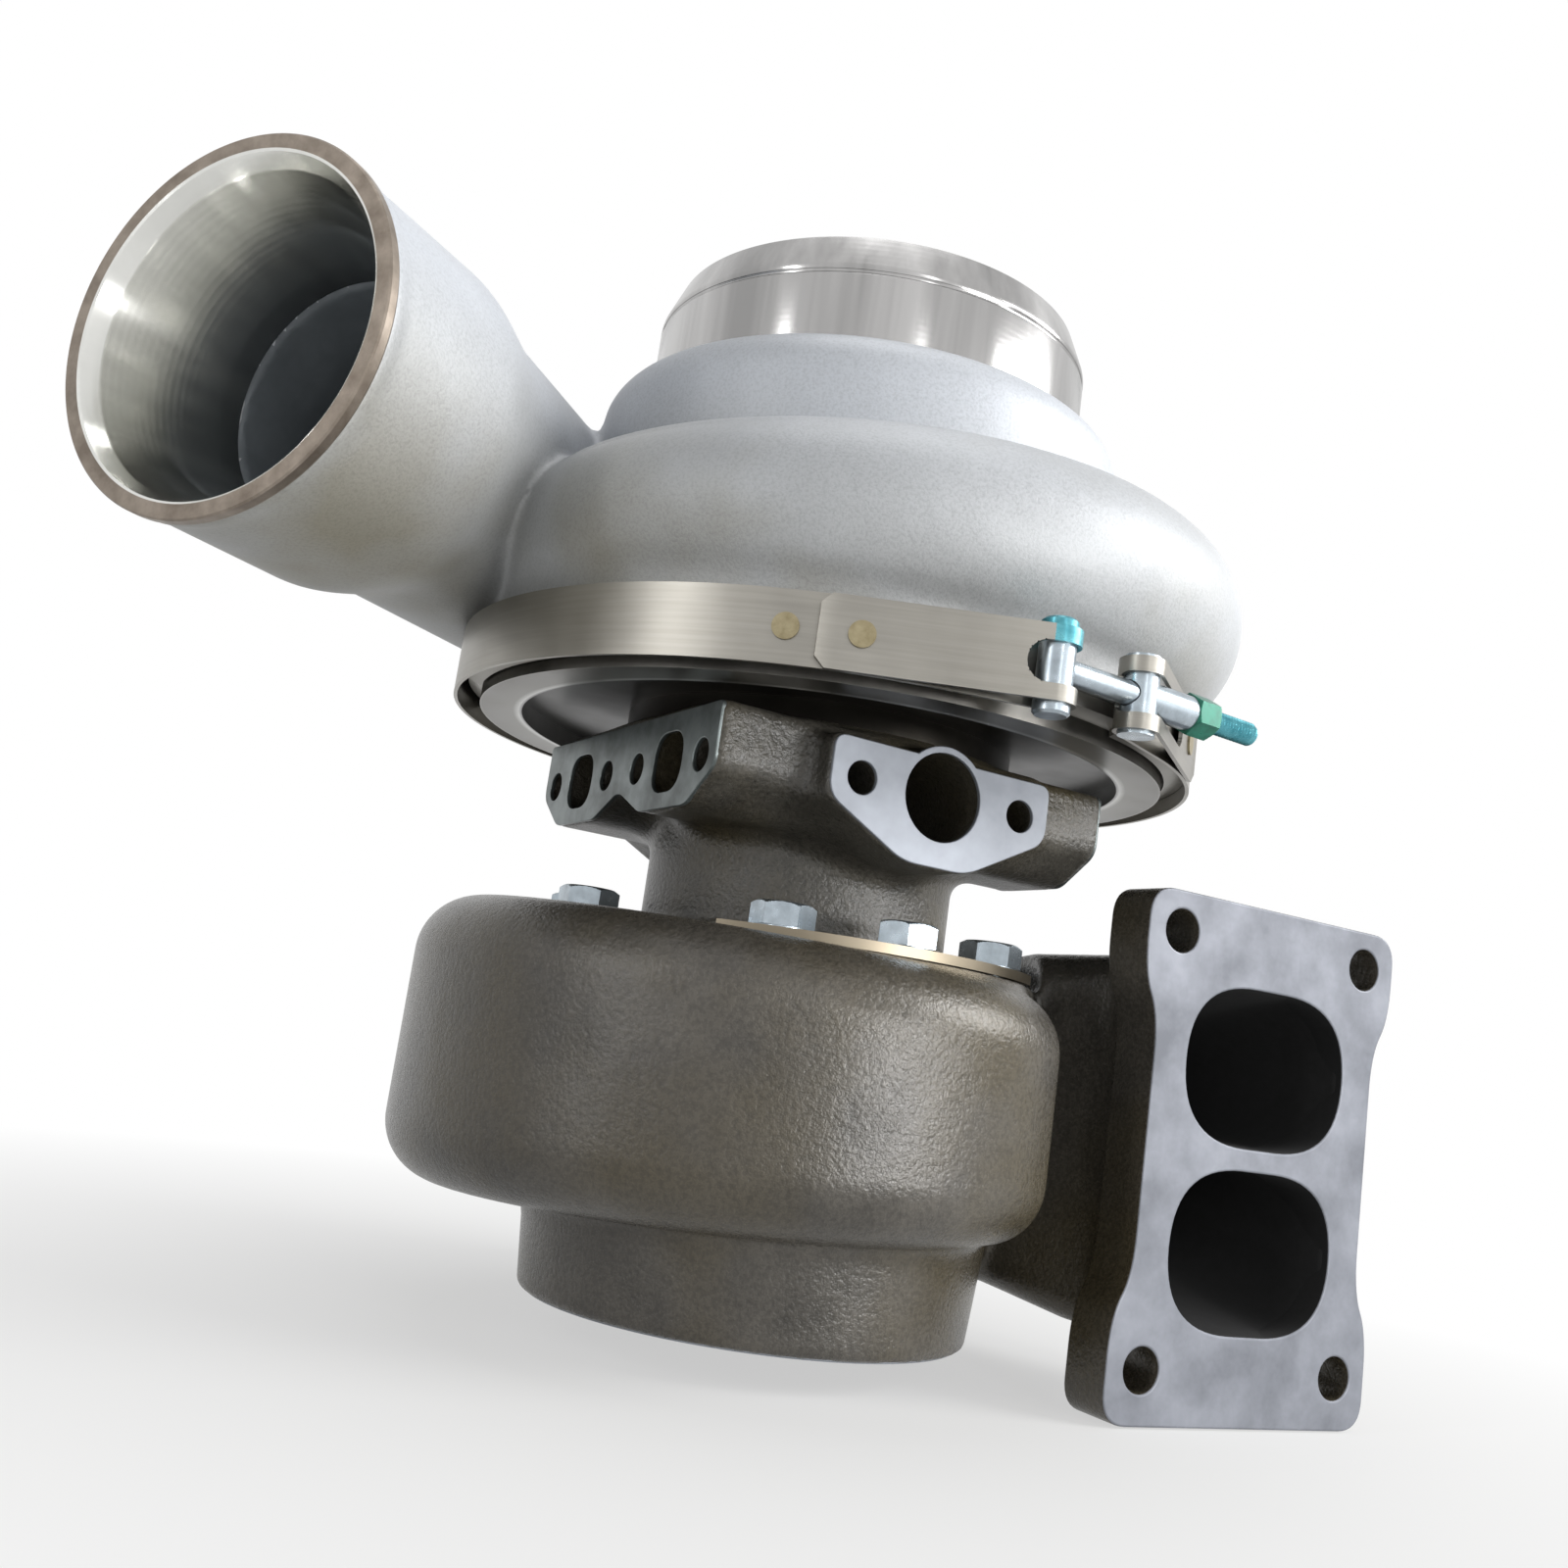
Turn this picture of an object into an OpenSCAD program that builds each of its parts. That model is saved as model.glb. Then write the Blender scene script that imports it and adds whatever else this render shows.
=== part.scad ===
// Twin-entry diesel turbocharger with its shaft line upright.
// Origin: centre of the turbine outlet rim. +Z runs up the shaft to the compressor inlet.
// The turbine inlet flange faces -Y, and the rotor turns anticlockwise seen from above.

/* [Turbine housing] */
// Outer radius of the outlet rim
outlet_r = 72.75; // [70:0.25:78]
// Outer radius of the outlet pipe where it meets the scroll
outlet_root_r = 76; // [74:0.5:80]
// Wall of the outlet pipe at its rim
outlet_wall = 6; // [4:0.5:9]
// Height of the outlet pipe
turbine_floor_z = 33; // [28:0.5:40]
// Height from the end of the outlet pipe to the joint face
turbine_scroll_h = 83; // [78:0.5:92]
// Height of the scroll's section where the gas enters
turbine_scroll_start_h = 110; // [104:1:116]
// Height of the scroll's section where it ends
turbine_scroll_end_h = 77; // [72:1:80]
// Outer radius of the scroll where the gas enters
turbine_scroll_start_r = 149; // [144:0.5:156]
// Outer radius that the scroll winds down to after a full turn
turbine_scroll_end_r = 90; // [86:0.5:98]
// Corner radius of the scroll's outer edges
turbine_scroll_corner = 20; // [14:0.5:24]
// Wall round the gas passages
turbine_wall = 7; // [5:0.5:9]
// Thickness of the wall between the two gas passages
turbine_divider = 7.1; // [5:0.1:10]

/* [Turbine inlet flange] */
// Distance of the flange's centre line from the shaft, along X
inlet_x = 129.5; // [124:0.5:136]
// Distance of the flange's face from the shaft, along Y
inlet_face = 92.35; // [86:0.05:100]
// Height of the middle of the bolt pattern
inlet_mid_z = 72.6; // [68:0.1:78]
// Thickness of the flange
inlet_flange_t = 18; // [14:0.5:24]
// Bolt spacing across the flange
inlet_bolt_x = 83; // [78:0.5:90]
// Bolt spacing along the flange
inlet_bolt_z = 133.3; // [130:0.1:142]
// Diameter of the flange's bolt holes
inlet_hole_d = 13.8; // [11:0.1:15]
// Metal from a bolt's centre to the flange's side edge
inlet_side_margin = 14; // [12:0.5:17]
// Metal from an upper bolt's centre to the top edge
inlet_top_margin = 12.8; // [12:0.1:18]
// Metal from a lower bolt's centre to the bottom edge
inlet_bottom_margin = 16.4; // [12:0.1:18]
// Depth of the waist in the flange's sides
inlet_waist = 7; // [3:0.5:9]
// Height of the waist
inlet_waist_h = 78; // [66:1:90]
// Radius of the flange's corners
inlet_corner_r = 10; // [6:0.5:12]
// Width of each gas port
port_w = 69.5; // [62:0.5:74]
// Height of each gas port
port_h = 50.5; // [46:0.5:54]
// Corner radius of the gas ports
port_corner_r = 20; // [12:0.5:24]

/* [Turbine joint] */
// Distance of the circle of clamp bolts from the edge of the housing's lower flange
clamp_margin = 8; // [7:0.25:10]
// Thread diameter of the clamp bolts
clamp_bolt_d = 10; // [8:1:10]
// Width across flats of the clamp bolts
clamp_head_af = 17; // [15:0.5:18]
// Height of the clamp bolts' heads
clamp_head_h = 7.5; // [5:0.5:9]
// Length of the clamp bolts under the head
clamp_bolt_len = 24; // [18:1:28]
// Thickness of the clamp plates
clamp_plate_t = 3; // [2:0.25:5]
// Width of the clamp plates
clamp_plate_w = 22; // [20:0.5:24]
// Number of clamp plates
clamp_plates = 3; // [2:1:3]
// Bolts in each clamp plate
clamp_bolts_each = 3; // [2:1:3]
// Angle between neighbouring bolts in a plate
clamp_bolt_step = 30; // [22:1:32]
// Direction of the middle of the first clamp plate
clamp_az = -92; // [-110:1:-80]

/* [Centre housing] */
// Radius of the neck above the turbine joint
neck_r = 51.5; // [48:0.5:54]
// Height of the housing above the turbine joint
housing_h = 67; // [65:0.5:72]
// Radius of the lower flange in the turbine housing
housing_foot_r = 66; // [64:0.25:67]
// Thickness of the lower flange
housing_foot_t = 8; // [6:0.5:11]
// Radius of the nose inside the heat shield
nose_r = 34; // [30:0.5:38]
// Length of the nose below the lower flange
nose_len = 9; // [8:0.5:12]
// Radius of the upper flange under the back plate
housing_head_r = 64; // [62:0.5:66]
// Distance of the port block's faces from the shaft, along X
port_face_x = 71; // [68:0.5:78]
// Half width of the port block, along Y
block_y = 68; // [66:0.5:74]
// Height of the port block
block_h = 31; // [29:0.5:33]
// Distance of the oil drain's face from the shaft, along Y
drain_face = 80; // [76:0.5:90]
// Radius of the oil drain hole
drain_hole_r = 13.5; // [11:0.25:15]
// Bolt spacing of the oil drain
drain_bolt_x = 57.8; // [54:0.2:60]
// Half width of the drain flange
drain_half_w = 40; // [38:0.5:44]
// Diameter of the threaded holes in the drain's face
drain_thread_d = 10; // [8:0.5:11]
// Radius of the oil inlet hole
oil_inlet_r = 6; // [4:0.25:8]
// Bolt spacing of the oil inlet
oil_bolt_x = 40; // [36:0.5:44]
// Diameter of the threaded holes in the oil inlet's face
oil_thread_d = 8; // [6:0.5:9]
// Distance of each coolant port from the middle of its face
coolant_y = 35; // [33:0.5:37]
// Width of a coolant port
coolant_w = 20.4; // [17:0.2:22]
// Height of a coolant port
coolant_h = 18.6; // [16:0.2:20]
// Corner radius of a coolant port
coolant_corner = 6; // [4:0.5:7.5]
// Bolt spacing of a coolant port
coolant_bolt_y = 45.5; // [42:0.5:50]
// Diameter of the threaded holes beside the coolant ports
coolant_thread_d = 10; // [8:0.5:11]

/* [Clamp band] */
// Outer radius of the band's strap
band_r = 125; // [122:0.5:130]
// Width of the strap
band_w = 21; // [19:0.5:24]
// Thickness of the strap
strap_t = 1.2; // [1:0.1:1.6]
// Sheet thickness of the V segments
v_sheet_t = 2.3; // [1.8:0.1:2.6]
// Rim thickness of each flange that the band grips
v_flange_t = 4; // [3:0.25:5]
// Radial depth of the V
v_depth = 5; // [4:0.25:6]
// Slope of the V's sides, in degrees
v_slope = 20; // [15:1:24]
// Direction of the band's closing gap
band_gap_az = -85.5; // [-100:0.5:-70]
// Half angle between the two loops
loop_half_angle = 7; // [6.5:0.25:9]
// Radius of the T-bolt's head and of the trunnion
t_head_r = 5.2; // [4.5:0.1:6]
// Distance of the loops' centres from the strap's outer face
loop_stand = 8.7; // [8:0.1:12]
// Length of the T-bolt's head
t_head_len = 27; // [24:0.5:30]
// Diameter of the T-bolt's rod
t_rod_d = 7; // [6:0.25:8]
// Length of the T-bolt's rod
t_rod_len = 80; // [72:0.5:90]
// Length of the trunnion's sleeve
sleeve_len = 14; // [10:0.5:18]
// Width across flats of the lock nut
lock_nut_af = 11; // [10:0.5:13]
// Length of the lock nut
lock_nut_len = 9; // [7:0.5:12]

/* [Back plate] */
// Thickness of the back plate at its hub
back_hub_t = 12.5; // [11.5:0.25:15]
// Radius of the hub that seats on the centre housing
back_hub_r = 66; // [65:0.5:68]
// Outer radius of the underside's recess
back_recess_r = 102; // [90:0.5:106]
// Thickness of the plate in the recess
back_web_t = 5; // [4:0.25:7]
// Thickness of the plate at its rim
back_rim_t = 11.5; // [10.75:0.25:14]
// Radius of the screws' circle
back_screw_circle_r = 45; // [42:0.5:48]
// Thread diameter of the screws
back_screw_d = 6; // [5:0.5:7]
// Number of screws
back_screws = 6; // [4:1:6]

/* [Compressor cover] */
// Outer radius of the inlet pipe
inlet_pipe_r = 76.2; // [72:0.1:80]
// Height of the inlet pipe above the boss
inlet_pipe_h = 38.5; // [30:0.5:46]
// Height of the pipe's tapered lead-in
inlet_lead_h = 12.2; // [8:0.2:16]
// Radial fall of the lead-in
inlet_lead_fall = 5; // [2:0.25:6]
// Wall of the pipe at its mouth
inlet_wall = 4; // [3:0.25:6]
// Radius of the boss round the inlet
boss_r = 91; // [88:0.5:96]
// Radius of the boss's rounded shoulder
boss_round = 14; // [8:0.5:14]
// Height of the boss above the band's joint
boss_h = 107.2; // [102:0.2:114]
// Height of the scroll's underside above the band's joint
cover_floor_h = 12.5; // [12:0.5:17]
// Section radius of the scroll where it starts
cover_scroll_start = 26; // [24:0.5:28]
// Section radius of the scroll where it leaves
cover_scroll_end = 43.6; // [41:0.2:46]
// Power of the section's growth, above 1 where it grows faster towards the exit
cover_growth = 1.3; // [1:0.05:1.6]
// Reach of the section's centre where the scroll starts
cover_scroll_start_r = 97; // [94:0.5:99]
// Reach of the section's centre where the scroll leaves
cover_scroll_end_r = 114; // [110:0.5:116]
// Distance of the outlet's axis from the shaft
outlet_offset = 108.4; // [106:0.1:112]
// Rise of the outlet's axis above the end of the scroll
outlet_rise = 4.25; // [0:0.25:5]
// Direction in which the outlet points
outlet_az = -143.1; // [-150:0.1:-136]
// Distance of the outlet's mouth along its axis
outlet_reach = 194; // [186:0.5:202]
// Outer radius of the outlet's collar
collar_r = 57; // [55:0.25:60]
// Length of the outlet's collar
collar_len = 58; // [54:0.5:64]
// Length of the collar's sloping shoulder
collar_shoulder = 30; // [20:1:34]
// Outer radius of the throat behind the collar
throat_end_r = 49.2; // [47:0.2:51]
// Bore radius at the outlet's mouth
mouth_bore_r = 49; // [46:0.5:50]
// Wall round the air passage
cover_wall = 6; // [4.5:0.25:7]
// Width of the diffuser gap
diffuser_gap = 7.5; // [6:0.25:9]

/* [Rotor] */
// Radius of the compressor wheel's rim
comp_wheel_r = 62; // [58:0.25:64]
// Radius of the compressor wheel's eye
comp_eye_r = 46; // [43:0.25:48]
// Radius of the compressor wheel's hub at the eye
comp_hub_r = 15.5; // [14:0.25:18]
// Height of the wheel from rim face to leading edges
comp_wheel_h = 42.5; // [38:0.5:46]
// Thickness of the wheel's rim
comp_rim_t = 3; // [2:0.25:4]
// Number of long blades
comp_blades = 7; // [5:1:8]
// Wrap of the long blades, in degrees
comp_wrap = 52; // [40:1:60]
// Radius of the turbine wheel
turb_wheel_r = 57; // [54:0.25:58]
// Radius of the turbine wheel's outlet
turb_exit_r = 49.5; // [46:0.25:51]
// Radius of the turbine wheel's hub at its outlet
turb_hub_r = 14.5; // [12:0.25:17]
// Height of the turbine wheel
turb_wheel_h = 50; // [46:0.5:54]
// Width of the turbine blades' inlet edge
turb_tip_w = 17; // [14:0.5:19]
// Number of turbine blades
turb_blades = 11; // [9:1:12]
// Wrap of the turbine blades, in degrees
turb_wrap = 40; // [30:1:48]
// Thickness of the blades at their roots
blade_root_t = 2.4; // [1.8:0.1:3]
// Thickness of the blades at their tips
blade_tip_t = 1.2; // [1:0.1:1.6]
// Radius of the shaft in its bearings
journal_r = 10; // [9:0.1:11]
// Radius of the shaft's thin end
stub_r = 6.5; // [5.5:0.1:7]
// Radius of the shaft's hub behind the turbine wheel
seal_hub_r = 15; // [14.5:0.1:17]
// Height of the compressor nut
nut_h = 10; // [8:0.5:13]
// Width across flats of the compressor nut
nut_af = 19; // [17:0.5:22]

/* [Bearings] */
// Outer radius of the floating bearings
bearing_r = 15; // [14.5:0.1:17]
// Length of a floating bearing
bearing_len = 18; // [15:0.5:20]
// Radial clearance between shaft and bearing
bearing_clear_in = 0.04; // [0.02:0.01:0.06]
// Radial clearance between bearing and housing
bearing_clear_out = 0.06; // [0.04:0.01:0.08]
// Thickness of the retaining rings
snap_t = 1.2; // [1:0.1:1.6]
// Radius of the thrust bearing
thrust_r = 34; // [33:0.25:36]
// Thickness of the thrust bearing
thrust_t = 5; // [4:0.25:6]
// Radius of the thrust collar and washer
thrust_face_r = 17; // [15:0.25:18]
// Thickness of the thrust collar's flange and of the washer
thrust_face_t = 3; // [2:0.25:4]

/* [Clearances] */
// Gap at parts that seat on each other round a curve
seat_gap = 0.1; // [0.05:0.01:0.15]
// Gap between the wheels and their housings
wheel_gap = 0.5; // [0.4:0.05:0.8]
// Gap between parts that pass by each other
pass_gap = 0.8; // [0.5:0.05:1]
// End play of the thrust bearing on each side
thrust_play = 0.1; // [0.05:0.01:0.2]
// Radial gap between the shaft's thin end and the parts on it
stub_fit = 0.02; // [0.01:0.01:0.04]

/* [Hidden] */
$fn = 96;

// How far a cutting shape runs past the face that it cuts
cut = 1;

// Steps and margins between neighbouring faces
shield_margin = 4;
passage_roof = 2;
core_step = 2;
nozzle_reach = 11;
passage_step = 2.4;
seal_step = 1;
cavity_gap = 7;
upper_cavity_h = 4.5;
lower_cavity_h = 2;
thrust_seat_depth = 12;
lower_bearing_rise = 6;
upper_bearing_drop = 6.5;
snap_grip = 1.4;
snap_reach = 1.5;
comp_ring_rise = 5;
screw_head_extra = 4;
block_drop = 2;
port_axis_drop = 16;
drain_drop = 7;
drain_foot_cut = 2;
collector_margin = 8;
collector_w = 10;
cover_seal_shift = 1;
housing_seal_shift = 2;

// Levels on the shaft line
turb_top_z = turbine_floor_z + turbine_scroll_h;
turb_mid_z = turbine_floor_z + turbine_scroll_h / 2;
foot_z = turb_top_z - housing_foot_t;
nose_z = foot_z - nose_len;
housing_top_z = turb_top_z + housing_h;
joint_z = housing_top_z + back_hub_t;
cover_floor_z = joint_z + cover_floor_h;
boss_top_z = joint_z + boss_h;
inlet_top_z = boss_top_z + inlet_pipe_h;

// Heat shield and turbine wheel
shield_t = 1.5;
shield_z = nose_z - pass_gap - shield_t;
shield_rim_r = housing_foot_r - shield_margin;
turb_back_z = shield_z - 2 * pass_gap;
turb_exit_z = turb_back_z - turb_wheel_h;
turb_rim_t = 2.5;
turb_tip_top_z = turb_back_z - turb_rim_t;
turb_tip_low_z = turb_tip_top_z - turb_tip_w;
turb_nose_len = 6;
turb_nose_r = turb_hub_r / 2;

// Turbine scroll and its gas passages
passage_top_z = turb_top_z - turbine_wall - passage_roof;
passage_floor_z = turbine_floor_z + turbine_wall;
clamp_circle_r = housing_foot_r + clamp_margin;
joint_pocket = 2.5;
ring_bevel = 3;
tap_extra = 2;
clamp_plate_end = 13;
top_ring_r = clamp_circle_r + clamp_head_af / 2;
core_r = outlet_root_r + core_step;
nozzle_r = turb_wheel_r + nozzle_reach;
passage_in_r = nozzle_r - passage_step;
scroll_in_r = passage_in_r - turbine_wall;
scroll_run = 296;
scroll_tail = 30;
port_drop = 1.35;
waist_slope = 1.8;
port_mid_z = inlet_mid_z - port_drop;
port_half_h = turbine_divider / 2 + port_h;
inner_corner = 4;
duct_corner = 9;
passage_corner = 13;

// Shaft line through the bearings
seal_top_z = foot_z - seal_step;
seal_gap = 0.5;
ring_t = 2.2;
sleeve_t = 5.2;
ring_side_gap = 0.15;
ring_depth = 2.4;
ring_floor_gap = 0.5;
turb_ring_z = nose_z + nose_len / 2;
oil_cavity_r = bearing_r + cavity_gap;
thrust_seat_z = housing_top_z - thrust_seat_depth;
lower_bearing_z = foot_z + lower_bearing_rise;
upper_bearing_z = thrust_seat_z - upper_bearing_drop - bearing_len;
upper_cavity_z = thrust_seat_z - upper_cavity_h;
lower_cavity_z = lower_bearing_z - lower_cavity_h;
bearing_bore_r = bearing_r + bearing_clear_out;
bearing_end_gap = 0.3;
bearing_holes = 6;
bearing_hole_r = 1.5;
spacer_wall = 2.4;
snap_gap = 5;
snap_groove_r = bearing_r + snap_grip;
snap_in_r = bearing_r - snap_reach;
snap_levels = [lower_bearing_z - bearing_end_gap - snap_t, upper_bearing_z + bearing_len + bearing_end_gap];
washer_top_z = thrust_seat_z - thrust_play;
shoulder_z = washer_top_z - thrust_face_t;
collar_z = thrust_seat_z + thrust_t + thrust_play;
collar_top_z = collar_z + thrust_face_t;
comp_back_z = joint_z - comp_rim_t;
comp_eye_z = joint_z + comp_wheel_h;
comp_nose_len = 6;
comp_nose_taper = 1.5;
comp_nose_z = comp_eye_z + comp_nose_len;
nut_top_z = comp_nose_z + nut_h;
stub_proud = 4;
stub_top_z = nut_top_z + stub_proud;
sleeve_r = stub_r + sleeve_t;
fit_r = stub_r + stub_fit;
comp_ring_z = housing_top_z + comp_ring_rise;
wheel_floor_z = comp_back_z - pass_gap;
thrust_screws = 3;
thrust_screw_d = 5;
thrust_screw_len = 11;
thrust_screw_head = 2.5;
baffle_t = 1.4;

// Screws of the back plate
back_screw_grip = 14;
back_screw_head_h = 4.2;
back_screw_head_d = back_screw_d + screw_head_extra;
back_screw_seat_z = wheel_floor_z - back_screw_head_h - pass_gap;
back_screw_tip_z = housing_top_z - back_screw_grip + cut;

// Centre housing block
block_top_z = housing_top_z - block_drop;
block_low_z = block_top_z - block_h;
port_axis_z = block_top_z - port_axis_drop;
block_slope = 11;
ear_slope = 15;
notch_half_w = 2;
notch_h = 7.5;
pad_drop = 4;
neck_flare = 3;
drain_low_z = block_low_z - drain_drop;
pad_depth = 20;
drain_wall = 2;
drain_eye_wall = 2;
drain_throat_r = 5.5;
feed_wall = 3;
oil_feed_r = 3;
coolant_depth = 22;
oil_inlet_drop = 9;

// Clamp band
flange_r = band_r - strap_t - v_sheet_t - 4 * seat_gap;
v_rise = v_depth * tan(v_slope);
v_neck_r = flange_r - v_depth;
strap_mid_r = band_r - strap_t / 2;
outer_layer_r = strap_mid_r + strap_t + seat_gap;
loop_r = t_head_r + 2 * seat_gap + strap_t / 2;
loop_centre_r = band_r + loop_stand;
leg_in_angle = acos((strap_mid_r + loop_r) / loop_centre_r);
leg_out_angle = acos((outer_layer_r - loop_r) / loop_centre_r);
leg_in_len = loop_centre_r * sin(leg_in_angle);
leg_out_len = loop_centre_r * sin(leg_out_angle);
overlap_angle = 2.5;
rod_x = loop_centre_r * cos(loop_half_angle);
loop_y = loop_centre_r * sin(loop_half_angle);
rod_r = t_rod_d / 2;
sleeve_wall = 1.6;
leg_swell = 0.03;
leg_lap = 0.4;
slot_back = 9;
rod_gap = 0.3;
segment_count = 3;
segment_gap_angle = 24;
rivet_r = 3.8;
rivet_t = 0.6;
rivet_back = 6.5;

// Compressor cover
exit_az = outlet_az + 270;
cover_turn = 307;
cover_lap = 15;
neck_rise = 10;
collector_rise = 14;
groove_depth = 0.7;
groove_h = 1.5;
shoulder_lap = 0.8;
collector_r = v_neck_r - collector_margin;
collector_in_r = collector_r - collector_w;
throat_bore_r = cover_scroll_end - cover_wall;
air_start = 9;
outlet_z = cover_floor_z + cover_scroll_end + outlet_rise;
mouth_chamfer = 2.5;
lip_proud = 1.5;
lip_len = 5;
mouth_bore_len = 75;
o_ring_r = 1.15;
o_ring_groove_h = 2.4;
o_ring_groove_w = 3.4;
cover_seal_r = (collector_r + flange_r) / 2 - cover_seal_shift;
housing_seal_r = (back_screw_circle_r + housing_head_r) / 2 + housing_seal_shift;

// Blend from a to b as t goes from 0 to 1
function mix(a, b, t) = a + (b - a) * t;
function ease(t) = t * t * (3 - 2 * t);

// Points of an arc about (cx, cy)
function arc(cx, cy, r, a0, a1, n) =
    [for (i = [0:n]) [cx + r * cos(mix(a0, a1, i / n)), cy + r * sin(mix(a0, a1, i / n))]];

// Section outlines in (radius, height), anticlockwise
function round_section(r, h, s, n) =
    [for (i = [0:n - 1]) [r + s * cos(360 * i / n), h + s * sin(360 * i / n)]];
function box_section(x0, x1, z0, z1, c_in, c_out, k) = concat(
    arc(x0 + c_in, z0 + c_in, c_in, 180, 270, k),
    arc(x1 - c_out, z0 + c_out, c_out, 270, 360, k),
    arc(x1 - c_out, z1 - c_out, c_out, 0, 90, k),
    arc(x0 + c_in, z1 - c_in, c_in, 90, 180, k));

// A section stood up in the half plane at azimuth a, then slid by d along the tangent
function at_azimuth(section, a, d = 0) =
    [for (p = section) [p[0] * cos(a) - d * sin(a), p[0] * sin(a) + d * cos(a), p[1]]];

// Closed skin through a row of sections with equal, even numbers of points
module loft(rings) {
    n = len(rings[0]);
    last = len(rings) - 1;
    half = n / 2;
    sides = [for (k = [0:last - 1], i = [0:n - 1])
        let (a = k * n + i, b = k * n + (i + 1) % n) each [[a, b, b + n], [a, b + n, a + n]]];
    caps = [for (i = [0:half - 2])
        let (a = i, b = i + 1, c = n - 2 - i, d = n - 1 - i, e = last * n)
        each [[c, b, a], [d, c, a], [e + a, e + b, e + c], [e + a, e + c, e + d]]];
    polyhedron(points = [for (r = rings) each r], faces = concat(sides, caps));
}

// Wheel blade between a hub curve and a shroud curve, both lists of (radius, height)
module blade(hub, shroud, turn, spans = 4, root = -0.08) {
    last = len(hub) - 1;
    loft([for (i = [0:last])
        concat(
            [for (j = [0:spans]) blade_point(hub[i], shroud[i], turn[i], mix(root, 1, j / spans), -1)],
            [for (j = [spans:-1:0]) blade_point(hub[i], shroud[i], turn[i], mix(root, 1, j / spans), 1)])]);
}
function blade_point(h, s, turn, span, side) =
    let (r = mix(h[0], s[0], span), t = mix(blade_root_t, blade_tip_t, max(span, 0)),
        a = turn + side * t / (2 * r) * 180 / PI)
    [r * cos(a), r * sin(a), mix(h[1], s[1], span)];

// Quarter curves of the two wheels, m from 0 at the inlet to 1 at the outlet
blade_inset = 0.4;
hub_land = 1;
land_share = 0.08;
splitter_start = 0.32;
comp_blade_r = comp_wheel_r - blade_inset;
comp_tip_z = joint_z + diffuser_gap - wheel_gap;
function comp_hub(m) =
    [mix(comp_hub_r, comp_blade_r, 1 - cos(90 * m)), mix(comp_eye_z, joint_z, sin(90 * m))];
function comp_shroud(m) =
    [mix(comp_eye_r, comp_blade_r, 1 - cos(90 * m)), mix(comp_eye_z, comp_tip_z, sin(90 * m))];
function comp_turn(m) = -comp_wrap * (1.35 * m - 0.35 * m * m);
turb_blade_r = turb_wheel_r - blade_inset;
function turb_hub(m) =
    [mix(turb_hub_r, turb_blade_r, 1 - sin(90 * m)), mix(turb_tip_top_z, turb_exit_z, 1 - cos(90 * m))];
function turb_shroud(m) =
    [mix(turb_exit_r, turb_blade_r, 1 - sin(90 * m)), mix(turb_tip_low_z, turb_exit_z, 1 - cos(90 * m))];
function turb_turn(m) = -turb_wrap * pow(m, 2.2);
function steps(a, b, n) = [for (i = [0:n]) mix(a, b, i / n)];

// Tube between two radii
module tube(r_out, r_in, z0, z1) {
    rotate_extrude() translate([r_in, z0]) square([r_out - r_in, z1 - z0]);
}

// Piston ring with a narrow end gap
module piston_ring(r_out, r_in, z) {
    difference() {
        tube(r_out, r_in, z - ring_t / 2, z + ring_t / 2);
        translate([0, -ring_side_gap, z - ring_t]) cube([r_out + cut, 2 * ring_side_gap, 2 * ring_t]);
    }
}

// Hex-head bolt standing on z = 0 with its shank below
module hex_bolt(d, length, af, head_h) {
    cylinder(d = af / cos(30), h = head_h, $fn = 6);
    translate([0, 0, -length]) cylinder(d = d, h = length + cut);
}

// Turbine side

function turb_out_r(a) = mix(turbine_scroll_start_r, turbine_scroll_end_r, a / 360);
function turb_tail_r(a) =
    mix(turb_out_r(scroll_run), core_r - inner_corner, ease((a - scroll_run) / scroll_tail));
function turb_half_h(a) = mix(turbine_scroll_start_h, turbine_scroll_end_h, min(a / scroll_run, 1)) / 2;
function turb_section(a, x1) =
    box_section(scroll_in_r, x1, turb_mid_z - turb_half_h(a), turb_mid_z + turb_half_h(a), inner_corner,
        min(turbine_scroll_corner, x1 - scroll_in_r - inner_corner), 4);
// Section of the inlet duct, t from 0 at the flange to 1 at the scroll
function duct_section(t) =
    let (e = ease(t), w = port_w / 2 + turbine_wall, h = port_half_h + turbine_wall)
    box_section(mix(inlet_x - w, scroll_in_r, e), mix(inlet_x + w, turbine_scroll_start_r, e),
        mix(port_mid_z - h, turb_mid_z - turb_half_h(0), e),
        mix(port_mid_z + h, turb_mid_z + turb_half_h(0), e),
        mix(duct_corner, inner_corner, e), mix(duct_corner, turbine_scroll_corner, e), 4);
module turbine_skin() {
    duct_y = inlet_face - inlet_flange_t / 2;
    loft(concat(
        [for (t = steps(0, 0.8, 4)) at_azimuth(duct_section(t), 0, -duct_y * (1 - t))],
        [for (a = [0:10:scroll_run]) at_azimuth(turb_section(a, turb_out_r(a)), a)],
        [for (a = [scroll_run + 10:10:scroll_run + scroll_tail])
            at_azimuth(turb_section(a, turb_tail_r(a)), a)]));
}
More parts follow.
